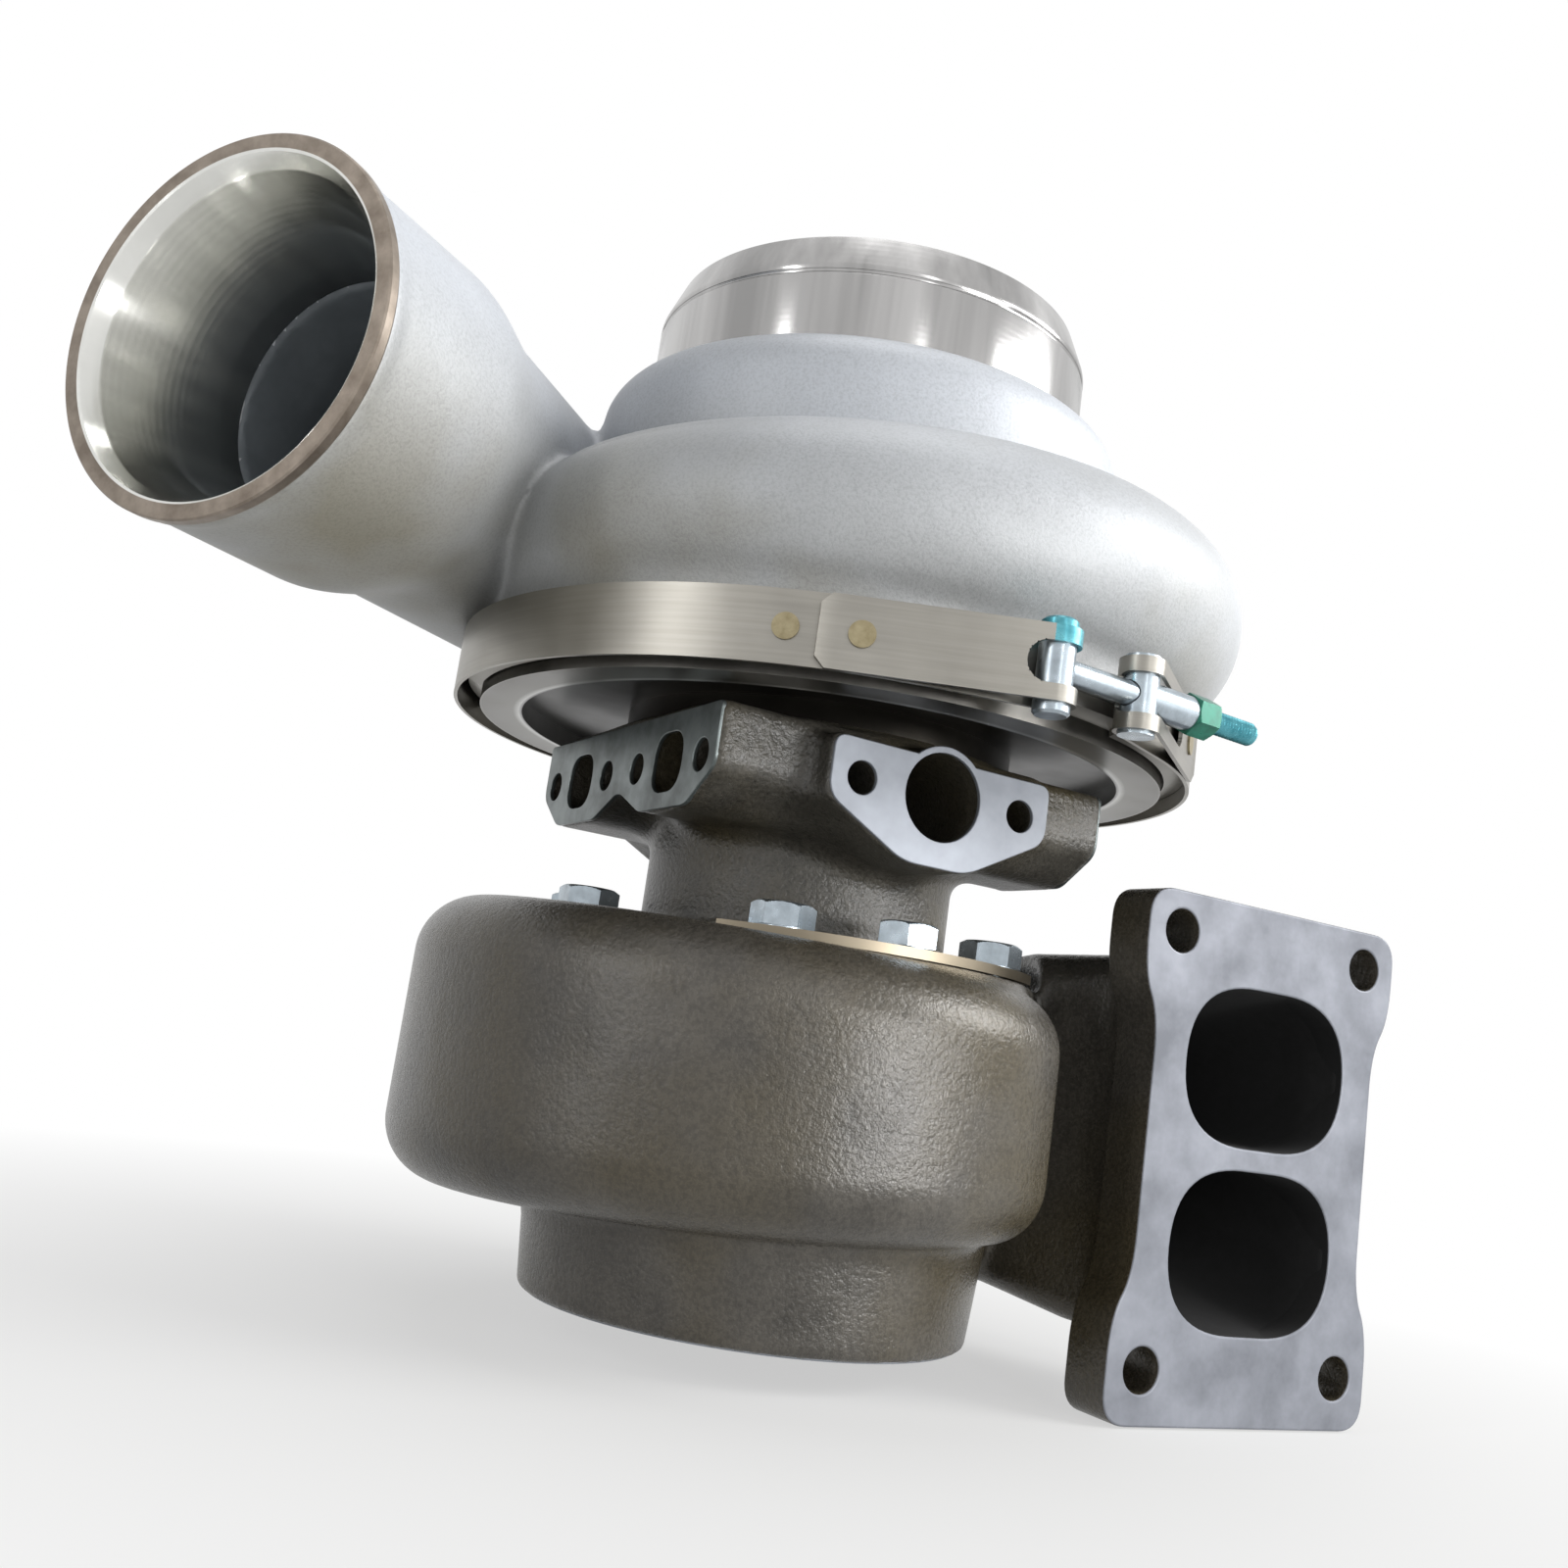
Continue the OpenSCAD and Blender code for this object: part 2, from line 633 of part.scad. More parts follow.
// Gas passage on one side of the divider, side 1 above and -1 below
function passage_section(t, a, side) =
    let (e = ease(t), near = turbine_divider / 2,
        z_port = port_mid_z + side * (near + port_h / 2), h_port = port_h / 2,
        z_far = side > 0 ? passage_top_z : passage_floor_z,
        z_scroll = (z_far + turb_mid_z + side * near) / 2,
        h_scroll = abs(z_far - turb_mid_z - side * near) / 2,
        z = mix(z_port, z_scroll, e), h = mix(h_port, h_scroll, e))
    box_section(mix(inlet_x - port_w / 2, passage_in_r, e),
        mix(inlet_x + port_w / 2, turb_out_r(a) - turbine_wall, e), z - h, z + h,
        mix(port_corner_r, inner_corner, e), mix(port_corner_r, passage_corner, e), 3);
module gas_passage(side) {
    duct_y = inlet_face + cut;
    loft(concat(
        [for (t = steps(0, 0.8, 4)) at_azimuth(passage_section(t, 0, side), 0, -duct_y * (1 - t))],
        [for (a = [0:15:scroll_run - 15]) at_azimuth(passage_section(1, a, side), a)]));
}
module inlet_outline() {
    x_half = inlet_bolt_x / 2 + inlet_side_margin;
    z_top = inlet_bolt_z / 2 + inlet_top_margin;
    z_low = -inlet_bolt_z / 2 - inlet_bottom_margin;
    c = inlet_corner_r;
    run = inlet_waist_h / 2 + waist_slope * inlet_waist;
    difference() {
        union() {
            translate([-x_half + c, z_low]) square([2 * x_half - 2 * c, z_top - z_low]);
            translate([-x_half, z_low + c]) square([2 * x_half, z_top - z_low - 2 * c]);
            for (x = [-x_half + c, x_half - c], z = [z_low + c, z_top - c]) translate([x, z]) circle(c);
        }
        for (s = [-1, 1])
            polygon([[s * (x_half + cut), run + cut], [s * (x_half - inlet_waist), inlet_waist_h / 2],
                [s * (x_half - inlet_waist), -inlet_waist_h / 2], [s * (x_half + cut), -run - cut]]);
        for (x = [-1, 1], z = [-1, 1])
            translate([x * inlet_bolt_x / 2, z * inlet_bolt_z / 2]) circle(d = inlet_hole_d);
    }
}
module turbine_core() {
    rotate_extrude() polygon([[0, 0], [outlet_r, 0], [outlet_root_r, turbine_floor_z],
        [core_r, turbine_floor_z + inner_corner], [core_r, passage_top_z],
        [top_ring_r, passage_top_z + ring_bevel], [top_ring_r, turb_top_z], [0, turb_top_z]]);
}
module turbine_bore() {
    rim_in_r = outlet_r - outlet_wall;
    back_r = turb_wheel_r + 4 * wheel_gap;
    shield_seat_r = shield_rim_r + seat_gap;
    foot_seat_r = housing_foot_r + seat_gap;
    nozzle_low_z = turb_mid_z - 2 * turbine_divider;
    contour = [for (m = steps(1, 0, 8))
        turb_shroud(m) + wheel_gap * [sin(90 * m), -cos(90 * m)]];
    rotate_extrude() polygon(concat(
        [[0, -cut], [rim_in_r, -cut], [rim_in_r, outlet_wall],
            [turb_exit_r + wheel_gap, turb_exit_z - turb_nose_len]],
        contour,
        [[turb_wheel_r + wheel_gap, turb_tip_low_z - wheel_gap], [nozzle_r, nozzle_low_z],
            [nozzle_r, turb_tip_top_z + wheel_gap], [back_r, turb_tip_top_z + wheel_gap],
            [back_r, foot_z - shield_t], [shield_seat_r, foot_z - shield_t], [shield_seat_r, foot_z],
            [foot_seat_r, foot_z], [foot_seat_r, turb_top_z + cut], [0, turb_top_z + cut]]));
}
module on_clamp_bolts() {
    for (p = [0:clamp_plates - 1], b = [0:clamp_bolts_each - 1])
        rotate(clamp_az + p * 360 / clamp_plates + (b - (clamp_bolts_each - 1) / 2) * clamp_bolt_step)
            translate([clamp_circle_r, 0, turb_top_z]) children();
}
module turbine_housing() {
    color("#5c5650") difference() {
        union() {
            turbine_skin();
            turbine_core();
            translate([inlet_x, -inlet_face + inlet_flange_t, inlet_mid_z])
                rotate([90, 0, 0]) linear_extrude(inlet_flange_t) inlet_outline();
        }
        turbine_bore();
        translate([0, 0, turb_top_z]) cylinder(r = top_ring_r + joint_pocket, h = turbine_scroll_start_h);
        for (side = [-1, 1]) gas_passage(side);
        on_clamp_bolts() translate([0, 0, clamp_plate_t - clamp_bolt_len - tap_extra])
            cylinder(d = clamp_bolt_d, h = clamp_bolt_len + tap_extra);
    }
}
module clamp_plates() {
    span = (clamp_bolts_each - 1) * clamp_bolt_step + 2 * clamp_plate_end;
    color("#9a8f78") difference() {
        for (p = [0:clamp_plates - 1])
            rotate_extrude(start = clamp_az + p * 360 / clamp_plates - span / 2, angle = span)
                translate([top_ring_r - clamp_plate_w, turb_top_z]) square([clamp_plate_w, clamp_plate_t]);
        on_clamp_bolts() translate([0, 0, -cut])
            cylinder(d = clamp_bolt_d + 2 * pass_gap, h = clamp_plate_t + 2 * cut);
    }
}
module clamp_bolts() {
    color("#b9c2c8") on_clamp_bolts() translate([0, 0, clamp_plate_t])
        hex_bolt(clamp_bolt_d - 2 * seat_gap, clamp_bolt_len, clamp_head_af, clamp_head_h);
}
module heat_shield() {
    wall_r = nose_r + pass_gap;
    hole_r = seal_hub_r + 2 * pass_gap;
    rim_low_z = foot_z - shield_t;
    color("#8c8880") rotate_extrude() polygon([[hole_r, shield_z], [wall_r + shield_t, shield_z],
        [wall_r + 2 * shield_t, rim_low_z], [shield_rim_r, rim_low_z], [shield_rim_r, foot_z],
        [wall_r + shield_t / 2, foot_z], [wall_r, shield_z + shield_t], [hole_r, shield_z + shield_t]]);
}
module turbine_wheel_shaft() {
    groove_r = seal_hub_r - ring_depth;
    groove_h = ring_t / 2 + ring_side_gap;
    stations = steps(0, 1, 7);
    color("#77706a") union() {
        rotate_extrude() polygon(concat(
            [[0, turb_exit_z - turb_nose_len], [turb_nose_r, turb_exit_z - turb_nose_len],
                [turb_hub_r, turb_exit_z - hub_land]],
            [for (m = steps(1 - land_share, 0, 10)) turb_hub(m)],
            [[turb_wheel_r, turb_tip_top_z], [turb_wheel_r, turb_back_z], [seal_hub_r, turb_back_z],
                [seal_hub_r, turb_ring_z - groove_h], [groove_r, turb_ring_z - groove_h],
                [groove_r, turb_ring_z + groove_h], [seal_hub_r, turb_ring_z + groove_h],
                [seal_hub_r, seal_top_z], [journal_r, seal_top_z], [journal_r, shoulder_z],
                [stub_r, shoulder_z], [stub_r, stub_top_z], [0, stub_top_z]]));
        for (i = [0:turb_blades - 1]) rotate(i * 360 / turb_blades)
            blade([for (m = stations) turb_hub(m)], [for (m = stations) turb_shroud(m)],
                [for (m = stations) turb_turn(m)], 3);
    }
}
module turbine_piston_ring() {
    color("#6d6d70")
        piston_ring(seal_hub_r + seal_gap - seat_gap, seal_hub_r - ring_depth + ring_floor_gap, turb_ring_z);
}

// Centre housing and bearings

module block_outline() {
    foot = (coolant_bolt_y - coolant_thread_d) / 2 - cut;
    half = [[notch_half_w, block_low_z + notch_h], [coolant_y - foot, block_low_z],
        [coolant_y + foot, block_low_z], [block_y, block_low_z + block_slope], [block_y, block_top_z]];
    polygon(concat(half, [for (i = [4:-1:0]) [-half[i][0], half[i][1]]]));
}
module pad_outline() {
    foot = drain_hole_r - drain_foot_cut;
    ear_low_z = drain_low_z + ear_slope;
    ear_top_z = block_top_z - pad_drop;
    polygon([[-foot, drain_low_z], [foot, drain_low_z], [drain_half_w, ear_low_z], [drain_half_w, ear_top_z],
        [-drain_half_w, ear_top_z], [-drain_half_w, ear_low_z]]);
}
module coolant_port() {
    x = coolant_h / 2 - coolant_corner;
    y = coolant_w / 2 - coolant_corner;
    for (i = [-1, 1], j = [-1, 1]) translate([i * x, j * y]) circle(r = coolant_corner);
    square([coolant_h, 2 * y], center = true);
    square([2 * x, coolant_w], center = true);
}
module housing_bores() {
    top_bore_r = thrust_r + seat_gap;
    rotate_extrude() polygon([[0, nose_z - cut], [seal_hub_r + seal_gap, nose_z - cut],
        [seal_hub_r + seal_gap, seal_top_z], [oil_cavity_r, seal_top_z], [oil_cavity_r, lower_cavity_z],
        [bearing_bore_r, lower_cavity_z], [bearing_bore_r, upper_cavity_z], [oil_cavity_r, upper_cavity_z],
        [oil_cavity_r, thrust_seat_z], [top_bore_r, thrust_seat_z], [top_bore_r, housing_top_z + cut],
        [0, housing_top_z + cut]]);
    for (z = snap_levels) translate([0, 0, z - seat_gap])
        cylinder(r = snap_groove_r, h = snap_t + 2 * seat_gap);
    translate([0, 0, housing_top_z]) seal_groove(housing_seal_r);
    on_thrust_screws() translate([0, 0, -thrust_screw_len])
        cylinder(d = thrust_screw_d, h = thrust_screw_len);
    on_back_screws() translate([0, 0, housing_top_z - back_screw_grip])
        cylinder(d = back_screw_d, h = back_screw_grip + cut);
}
module pad_bore(r, from_y, to_y) {
    translate([0, from_y, 0]) rotate([from_y < to_y ? -90 : 90, 0, 0])
        cylinder(r = r, h = abs(to_y - from_y));
}
module port_bores() {
    drain_end = -thrust_r - drain_wall;
    feed_end = bearing_r + feed_wall;
    translate([0, 0, port_axis_z]) {
        pad_bore(drain_hole_r, drain_end, -drain_face - cut);
        pad_bore(drain_throat_r, -bearing_bore_r + cut, drain_end - cut);
        for (x = [-1, 1]) translate([x * drain_bolt_x / 2, 0, 0])
            pad_bore(drain_thread_d / 2, pad_depth - drain_face, -drain_face - cut);
    }
    translate([0, 0, port_axis_z - oil_inlet_drop]) {
        pad_bore(oil_inlet_r, feed_end, drain_face + cut);
        pad_bore(oil_feed_r, bearing_bore_r - cut, feed_end + cut);
        for (x = [-1, 1]) translate([x * oil_bolt_x / 2, 0, 0])
            pad_bore(oil_thread_d / 2, drain_face - pad_depth, drain_face + cut);
    }
    for (y = [-1, 1]) translate([-port_face_x - cut, y * coolant_y, port_axis_z]) rotate([0, 90, 0]) {
        linear_extrude(coolant_depth + cut) coolant_port();
        for (b = [-1, 1]) translate([0, b * coolant_bolt_y / 2, 0])
            cylinder(d = coolant_thread_d, h = coolant_depth + cut);
    }
}
module centre_housing() {
    color("#3d3833") difference() {
        union() {
            rotate_extrude() polygon([[0, nose_z], [nose_r, nose_z], [nose_r, foot_z],
                [housing_foot_r, foot_z], [housing_foot_r, turb_top_z],
                [neck_r + neck_flare, turb_top_z], [neck_r, turb_top_z + 2 * neck_flare],
                [neck_r, block_low_z + block_slope], [housing_head_r, block_top_z - 2 * pad_drop],
                [housing_head_r, housing_top_z], [0, housing_top_z]]);
            translate([-port_face_x, 0, 0])
                rotate([90, 0, 90]) linear_extrude(2 * port_face_x) block_outline();
            translate([0, drain_face, 0])
                rotate([90, 0, 0]) linear_extrude(2 * drain_face) pad_outline();
            translate([0, 0, port_axis_z])
                pad_bore(drain_hole_r + drain_eye_wall, drain_eye_wall - block_y, -drain_face);
        }
        housing_bores();
        port_bores();
    }
}
module journal_bearing(z) {
    color("#b08d4f") difference() {
        tube(bearing_r, journal_r + bearing_clear_in, z, z + bearing_len);
        for (i = [0:bearing_holes - 1]) rotate((i + 0.5) * 360 / bearing_holes)
            translate([0, 0, z + bearing_len / 2])
                rotate([0, 90, 0]) cylinder(r = bearing_hole_r, h = bearing_r + cut);
    }
}
module lower_journal_bearing() { journal_bearing(lower_bearing_z); }
module upper_journal_bearing() { journal_bearing(upper_bearing_z); }
module bearing_spacer() {
    color("#8d9196") tube(bearing_r - seat_gap / 2, bearing_r - spacer_wall,
        lower_bearing_z + bearing_len + bearing_end_gap, upper_bearing_z - bearing_end_gap);
}
module bearing_snap_rings() {
    color("#55585c") for (z = snap_levels) difference() {
        tube(snap_groove_r - seat_gap, snap_in_r, z, z + snap_t);
        translate([0, -snap_gap / 2, z - cut]) cube([snap_groove_r, snap_gap, snap_t + 2 * cut]);
    }
}
module thrust_washer() {
    color("#a7abb0") tube(thrust_face_r, fit_r, shoulder_z, washer_top_z);
}
module on_thrust_screws() {
    for (i = [0:thrust_screws - 1]) rotate(90 + i * 360 / thrust_screws)
        translate([(oil_cavity_r + thrust_r) / 2, 0, thrust_seat_z]) children();
}
module thrust_bearing() {
    color("#b08d4f") difference() {
        tube(thrust_r, sleeve_r + pass_gap, thrust_seat_z, thrust_seat_z + thrust_t);
        on_thrust_screws() {
            translate([0, 0, -cut]) cylinder(d = thrust_screw_d + 2 * seat_gap, h = thrust_t + 2 * cut);
            translate([0, 0, thrust_t - thrust_screw_head])
                cylinder(d = 2 * thrust_screw_d, h = thrust_screw_head + cut);
        }
    }
}
module thrust_screws() {
    color("#707478") on_thrust_screws() translate([0, 0, thrust_t - thrust_screw_head]) {
        cylinder(d = 2 * thrust_screw_d - 2 * seat_gap, h = thrust_screw_head);
        translate([0, 0, -thrust_screw_len])
            cylinder(d = thrust_screw_d - 2 * seat_gap, h = thrust_screw_len + cut);
    }
}
module thrust_collar() {
    color("#a7abb0") rotate_extrude() polygon([[fit_r, washer_top_z], [sleeve_r, washer_top_z],
        [sleeve_r, collar_z], [thrust_face_r, collar_z], [thrust_face_r, collar_top_z],
        [fit_r, collar_top_z]]);
}
module oil_baffle() {
    web_z = collar_top_z + pass_gap;
    skirt_z = thrust_seat_z + thrust_t;
    color("#8d9196") rotate_extrude() union() {
        translate([sleeve_r + pass_gap, web_z]) square([thrust_r - sleeve_r - pass_gap, baffle_t]);
        translate([thrust_r - baffle_t, skirt_z]) square([baffle_t, housing_top_z - skirt_z]);
    }
}
module seal_sleeve() {
    groove_r = sleeve_r - ring_depth;
    groove_h = ring_t / 2 + ring_side_gap;
    color("#a7abb0") rotate_extrude() polygon([[fit_r, collar_top_z], [sleeve_r, collar_top_z],
        [sleeve_r, comp_ring_z - groove_h], [groove_r, comp_ring_z - groove_h],
        [groove_r, comp_ring_z + groove_h], [sleeve_r, comp_ring_z + groove_h],
        [sleeve_r, comp_back_z], [fit_r, comp_back_z]]);
}
module compressor_piston_ring() {
    color("#6d6d70")
        piston_ring(sleeve_r + pass_gap - seat_gap, sleeve_r - ring_depth + ring_floor_gap, comp_ring_z);
}

// Back plate

module seal_groove(r) {
    rotate_extrude() translate([r - o_ring_groove_w / 2, -o_ring_groove_h])
        square([o_ring_groove_w, o_ring_groove_h + cut]);
}
module o_ring(r, z) {
    rotate_extrude() translate([r, z - o_ring_groove_h / 2]) circle(o_ring_r);
}
module housing_seal() { color("#202020") o_ring(housing_seal_r, housing_top_z); }
module cover_seal() { color("#202020") o_ring(cover_seal_r, joint_z); }
module on_back_screws() {
    for (i = [0:back_screws - 1]) rotate(i * 360 / back_screws)
        translate([back_screw_circle_r, 0, 0]) children();
}
module back_plate() {
    hub_bore_r = sleeve_r + pass_gap;
    well_r = comp_wheel_r + 2 * pass_gap;
    color("#8b8a84") difference() {
        rotate_extrude() polygon([[hub_bore_r, housing_top_z], [back_hub_r, housing_top_z],
            [back_hub_r, joint_z - back_web_t], [back_recess_r, joint_z - back_web_t],
            [back_recess_r, joint_z - back_rim_t], [v_neck_r, joint_z - back_rim_t],
            [v_neck_r, joint_z - v_flange_t - v_rise], [flange_r, joint_z - v_flange_t], [flange_r, joint_z],
            [well_r, joint_z], [well_r, wheel_floor_z], [hub_bore_r, wheel_floor_z]]);
        translate([0, 0, joint_z]) seal_groove(cover_seal_r);
        on_back_screws() {
            translate([0, 0, housing_top_z - cut]) cylinder(d = back_screw_d + 2 * seat_gap, h = back_hub_t);
            translate([0, 0, back_screw_seat_z])
                cylinder(d = back_screw_head_d + 2 * seat_gap, h = back_hub_t);
        }
    }
}
module back_plate_screws() {
    shank = back_screw_seat_z - back_screw_tip_z;
    color("#707478") on_back_screws() {
        translate([0, 0, back_screw_seat_z]) cylinder(d = back_screw_head_d, h = back_screw_head_h);
        translate([0, 0, back_screw_tip_z]) cylinder(d = back_screw_d - 2 * seat_gap, h = shank + cut);
    }
}

// Compressor side

module compressor_wheel() {
    main = steps(0, 1, 8);
    splitter = steps(splitter_start, 1, 5);
    color("#b7bbc0") difference() {
        union() {
            rotate_extrude() polygon(concat(
                [[0, comp_back_z], [comp_wheel_r, comp_back_z], [comp_wheel_r, joint_z]],
                [for (m = steps(1, land_share, 12)) comp_hub(m)],
                [[comp_hub_r, comp_eye_z + hub_land], [comp_hub_r - comp_nose_taper, comp_nose_z],
                    [0, comp_nose_z]]));
            for (i = [0:comp_blades - 1]) rotate(i * 360 / comp_blades) {
                blade([for (m = main) comp_hub(m)], [for (m = main) comp_shroud(m)],
                    [for (m = main) comp_turn(m)]);
                rotate(180 / comp_blades) blade([for (m = splitter) comp_hub(m)],
                    [for (m = splitter) comp_shroud(m)], [for (m = splitter) comp_turn(m)], 3);
            }
        }
        translate([0, 0, comp_back_z - cut]) cylinder(r = fit_r, h = comp_nose_z - comp_back_z + 2 * cut);
    }
}
module compressor_nut() {
    color("#8d9196") translate([0, 0, comp_nose_z]) difference() {
        cylinder(d = nut_af / cos(30), h = nut_h, $fn = 6);
        translate([0, 0, -cut]) cylinder(r = fit_r, h = nut_h + 2 * cut);
    }
}
function cover_progress(a) = 1 - (exit_az - a) / cover_turn;
function cover_section_r(p) = mix(cover_scroll_start, cover_scroll_end, pow(max(p, 0), cover_growth));
function cover_centre_r(p) = mix(cover_scroll_start_r, cover_scroll_end_r, p);
function cover_section(a) =
    let (p = cover_progress(a), s = cover_section_r(p))
    round_section(cover_centre_r(p), cover_floor_z + s, s, 20);
// The scroll's first half and its second half with the throat, which laps over the start
module cover_skin() {
    first = exit_az - cover_turn - cover_lap;
    half_way = exit_az - cover_turn / 2;
    throat_len = outlet_reach - collar_len - shoulder_lap * collar_shoulder;
    loft([for (a = steps(first, half_way, 16)) at_azimuth(cover_section(a), a)]);
    loft(concat(
        [for (a = steps(half_way, exit_az, 16)) at_azimuth(cover_section(a), a)],
        [for (t = steps(0.25, 1, 3)) at_azimuth(round_section(mix(cover_scroll_end_r, outlet_offset, t),
            mix(cover_floor_z + cover_scroll_end, outlet_z, t), mix(cover_scroll_end, throat_end_r, t), 20),
            exit_az, t * throat_len)]));
}
function air_section(a) =
    let (p = cover_progress(a), s = mix(air_start, throat_bore_r, p))
    round_section(cover_centre_r(p), cover_floor_z + mix(cover_wall / 2, cover_wall, p) + s, s, 14);
module air_passage() {
    first = exit_az - cover_turn + cover_lap;
    throat_len = outlet_reach - mouth_bore_len + cut;
    loft(concat(
        [for (a = steps(first, exit_az, 24)) at_azimuth(air_section(a), a)],
        [for (t = [0.5, 1]) at_azimuth(round_section(mix(cover_scroll_end_r, outlet_offset, t),
            mix(cover_floor_z + cover_scroll_end, outlet_z, t), throat_bore_r, 14),
            exit_az, t * throat_len)]));
}
// Places a piece on the outlet's axis with the mouth at z = 0, facing along +Z
module at_mouth() {
    rotate(exit_az) translate([outlet_offset, outlet_reach, outlet_z])
        rotate([-90, 0, 0]) children();
}
module collar() {
    body_r = collar_r - lip_proud;
    at_mouth() rotate_extrude() polygon([[0, 0], [collar_r, 0], [collar_r, -lip_len], [body_r, -2 * lip_len],
        [body_r, -collar_len], [throat_end_r, -collar_len - collar_shoulder],
        [0, -collar_len - collar_shoulder]]);
}
module mouth_bore() {
    edge_r = mouth_bore_r + mouth_chamfer;
    at_mouth() rotate_extrude() polygon([[0, cut], [edge_r, cut], [edge_r, 0],
        [mouth_bore_r, -2 * mouth_chamfer], [throat_bore_r, -mouth_bore_len], [0, -mouth_bore_len]]);
}
module cover_body() {
    lead_z = inlet_top_z - inlet_lead_h;
    groove_r = inlet_pipe_r - groove_depth;
    groove_z = lead_z - groove_h;
    rotate_extrude() polygon(concat(
        [[0, joint_z], [flange_r, joint_z], [flange_r, joint_z + v_flange_t],
            [v_neck_r, joint_z + v_flange_t + v_rise], [v_neck_r, cover_floor_z + neck_rise],
            [boss_r, cover_floor_z + collector_rise]],
        arc(boss_r - boss_round, boss_top_z - boss_round, boss_round, 0, 90, 6),
        [[inlet_pipe_r, boss_top_z], [inlet_pipe_r, groove_z - groove_h], [groove_r, groove_z - groove_h],
            [groove_r, groove_z], [inlet_pipe_r, groove_z], [inlet_pipe_r, lead_z],
            [inlet_pipe_r - inlet_lead_fall, inlet_top_z], [0, inlet_top_z]]));
}
module cover_bore() {
    mouth_r = inlet_pipe_r - inlet_lead_fall - inlet_wall;
    contour = [for (m = steps(1, 0, 10)) comp_shroud(m) + wheel_gap * [cos(90 * m), sin(90 * m)]];
    diffuser_z = joint_z + diffuser_gap;
    rotate_extrude() polygon(concat(
        [[0, joint_z - cut], [collector_r, joint_z - cut], [collector_r, cover_floor_z + collector_rise],
            [collector_in_r, cover_floor_z + collector_rise], [collector_in_r, diffuser_z],
            [comp_wheel_r + 2 * wheel_gap, diffuser_z]],
        contour,
        [[comp_eye_r + wheel_gap, comp_nose_z + nut_h], [mouth_r, inlet_top_z - inlet_lead_h],
            [mouth_r, inlet_top_z + cut], [0, inlet_top_z + cut]]));
}
module compressor_cover() {
    color("#b4b8bb") difference() {
        union() {
            cover_skin();
            cover_body();
            collar();
        }
        air_passage();
        cover_bore();
        mouth_bore();
    }
}

// Clamp band

module band_segments() {
    each_angle = 360 / segment_count - segment_gap_angle;
    wall_r = band_r - strap_t - seat_gap;
    root_r = wall_r - v_sheet_t;
    tip_r = v_neck_r + pass_gap;
    rise = (root_r - tip_r) * tan(v_slope);
    root_h = v_flange_t + (flange_r - root_r) * tan(v_slope) + seat_gap;
    half = [[tip_r, root_h + rise], [tip_r, root_h + rise + v_sheet_t], [wall_r, root_h + v_sheet_t / 2]];
    section = concat([[root_r, root_h]], half,
        [for (i = [2:-1:0]) [half[i][0], -half[i][1]]], [[root_r, -root_h]]);
    color("#8f8a80") for (i = [0:segment_count - 1])
        translate([0, 0, joint_z])
            rotate_extrude(start = band_gap_az + segment_gap_angle / 2 + i * 360 / segment_count,
                angle = each_angle) polygon(section);
}
// Ring sector from azimuth a by angle w
module sector(r_out, r_in, a, w) {
    reach = 1.5 * r_out;
    n = ceil(w / 60);
    intersection() {
        difference() {
            circle(r_out);
            circle(r_in);
        }
        polygon(concat([[0, 0]], [for (i = [0:n]) reach * [cos(a + w * i / n), sin(a + w * i / n)]]));
    }
}
// Straight run of strap at radius r, on side s of the gap, swollen a hair to take in the arcs at its ends
module strap_leg(r, s, length) {
    w = strap_t + 2 * leg_swell;
    translate([r - w / 2, s > 0 ? -length - leg_lap : -leg_lap]) square([w, length + 2 * leg_lap]);
}
module strap_outline() {
    half_t = strap_t / 2;
    open = 2 * (loop_half_angle + leg_in_angle);
    sector(strap_mid_r + half_t, strap_mid_r - half_t, band_gap_az + open / 2, 360 - open);
    for (s = [-1, 1]) {
        loop_az = band_gap_az + s * loop_half_angle;
        leave_az = loop_az + s * leg_in_angle;
        land_az = loop_az + s * leg_out_angle;
        rotate(leave_az) strap_leg(strap_mid_r, s, leg_in_len);
        rotate(land_az) strap_leg(outer_layer_r, s, leg_out_len);
        sector(outer_layer_r + half_t, outer_layer_r - half_t, s > 0 ? land_az : land_az - overlap_angle,
            overlap_angle);
        rotate(loop_az) translate([loop_centre_r, 0])
            rotate(s > 0 ? 180 + leg_in_angle : -leg_out_angle)
                sector(loop_r + half_t, loop_r - half_t, 0, 180 + leg_out_angle - leg_in_angle);
    }
}
module on_rod(y) {
    rotate(band_gap_az) translate([rod_x, y, joint_z]) children();
}
module band_strap() {
    slot_h = 2 * (rod_r + sleeve_wall + pass_gap);
    slot_in = t_head_r;
    slot_out = loop_r + 2 * strap_t;
    nut_clear = lock_nut_af / 2 / cos(30) + pass_gap;
    color("#a8a296") difference() {
        translate([0, 0, joint_z - band_w / 2]) linear_extrude(band_w) strap_outline();
        on_rod(-loop_y) {
            translate([-slot_in, 0, -slot_h / 2]) cube([slot_in + slot_out, 2 * loop_r, slot_h]);
            translate([0, -slot_back, -slot_h / 2]) cube([slot_out, slot_back + cut, slot_h]);
        }
        on_rod(loop_y) {
            translate([-slot_in, -2 * loop_r, -slot_h / 2])
                cube([slot_in + slot_out, 2 * loop_r + t_head_r + sleeve_len, slot_h]);
            translate([-nut_clear, t_head_r + sleeve_len - pass_gap, -slot_h / 2])
                cube([nut_clear + slot_out, lock_nut_len + 2 * pass_gap, slot_h]);
        }
    }
}
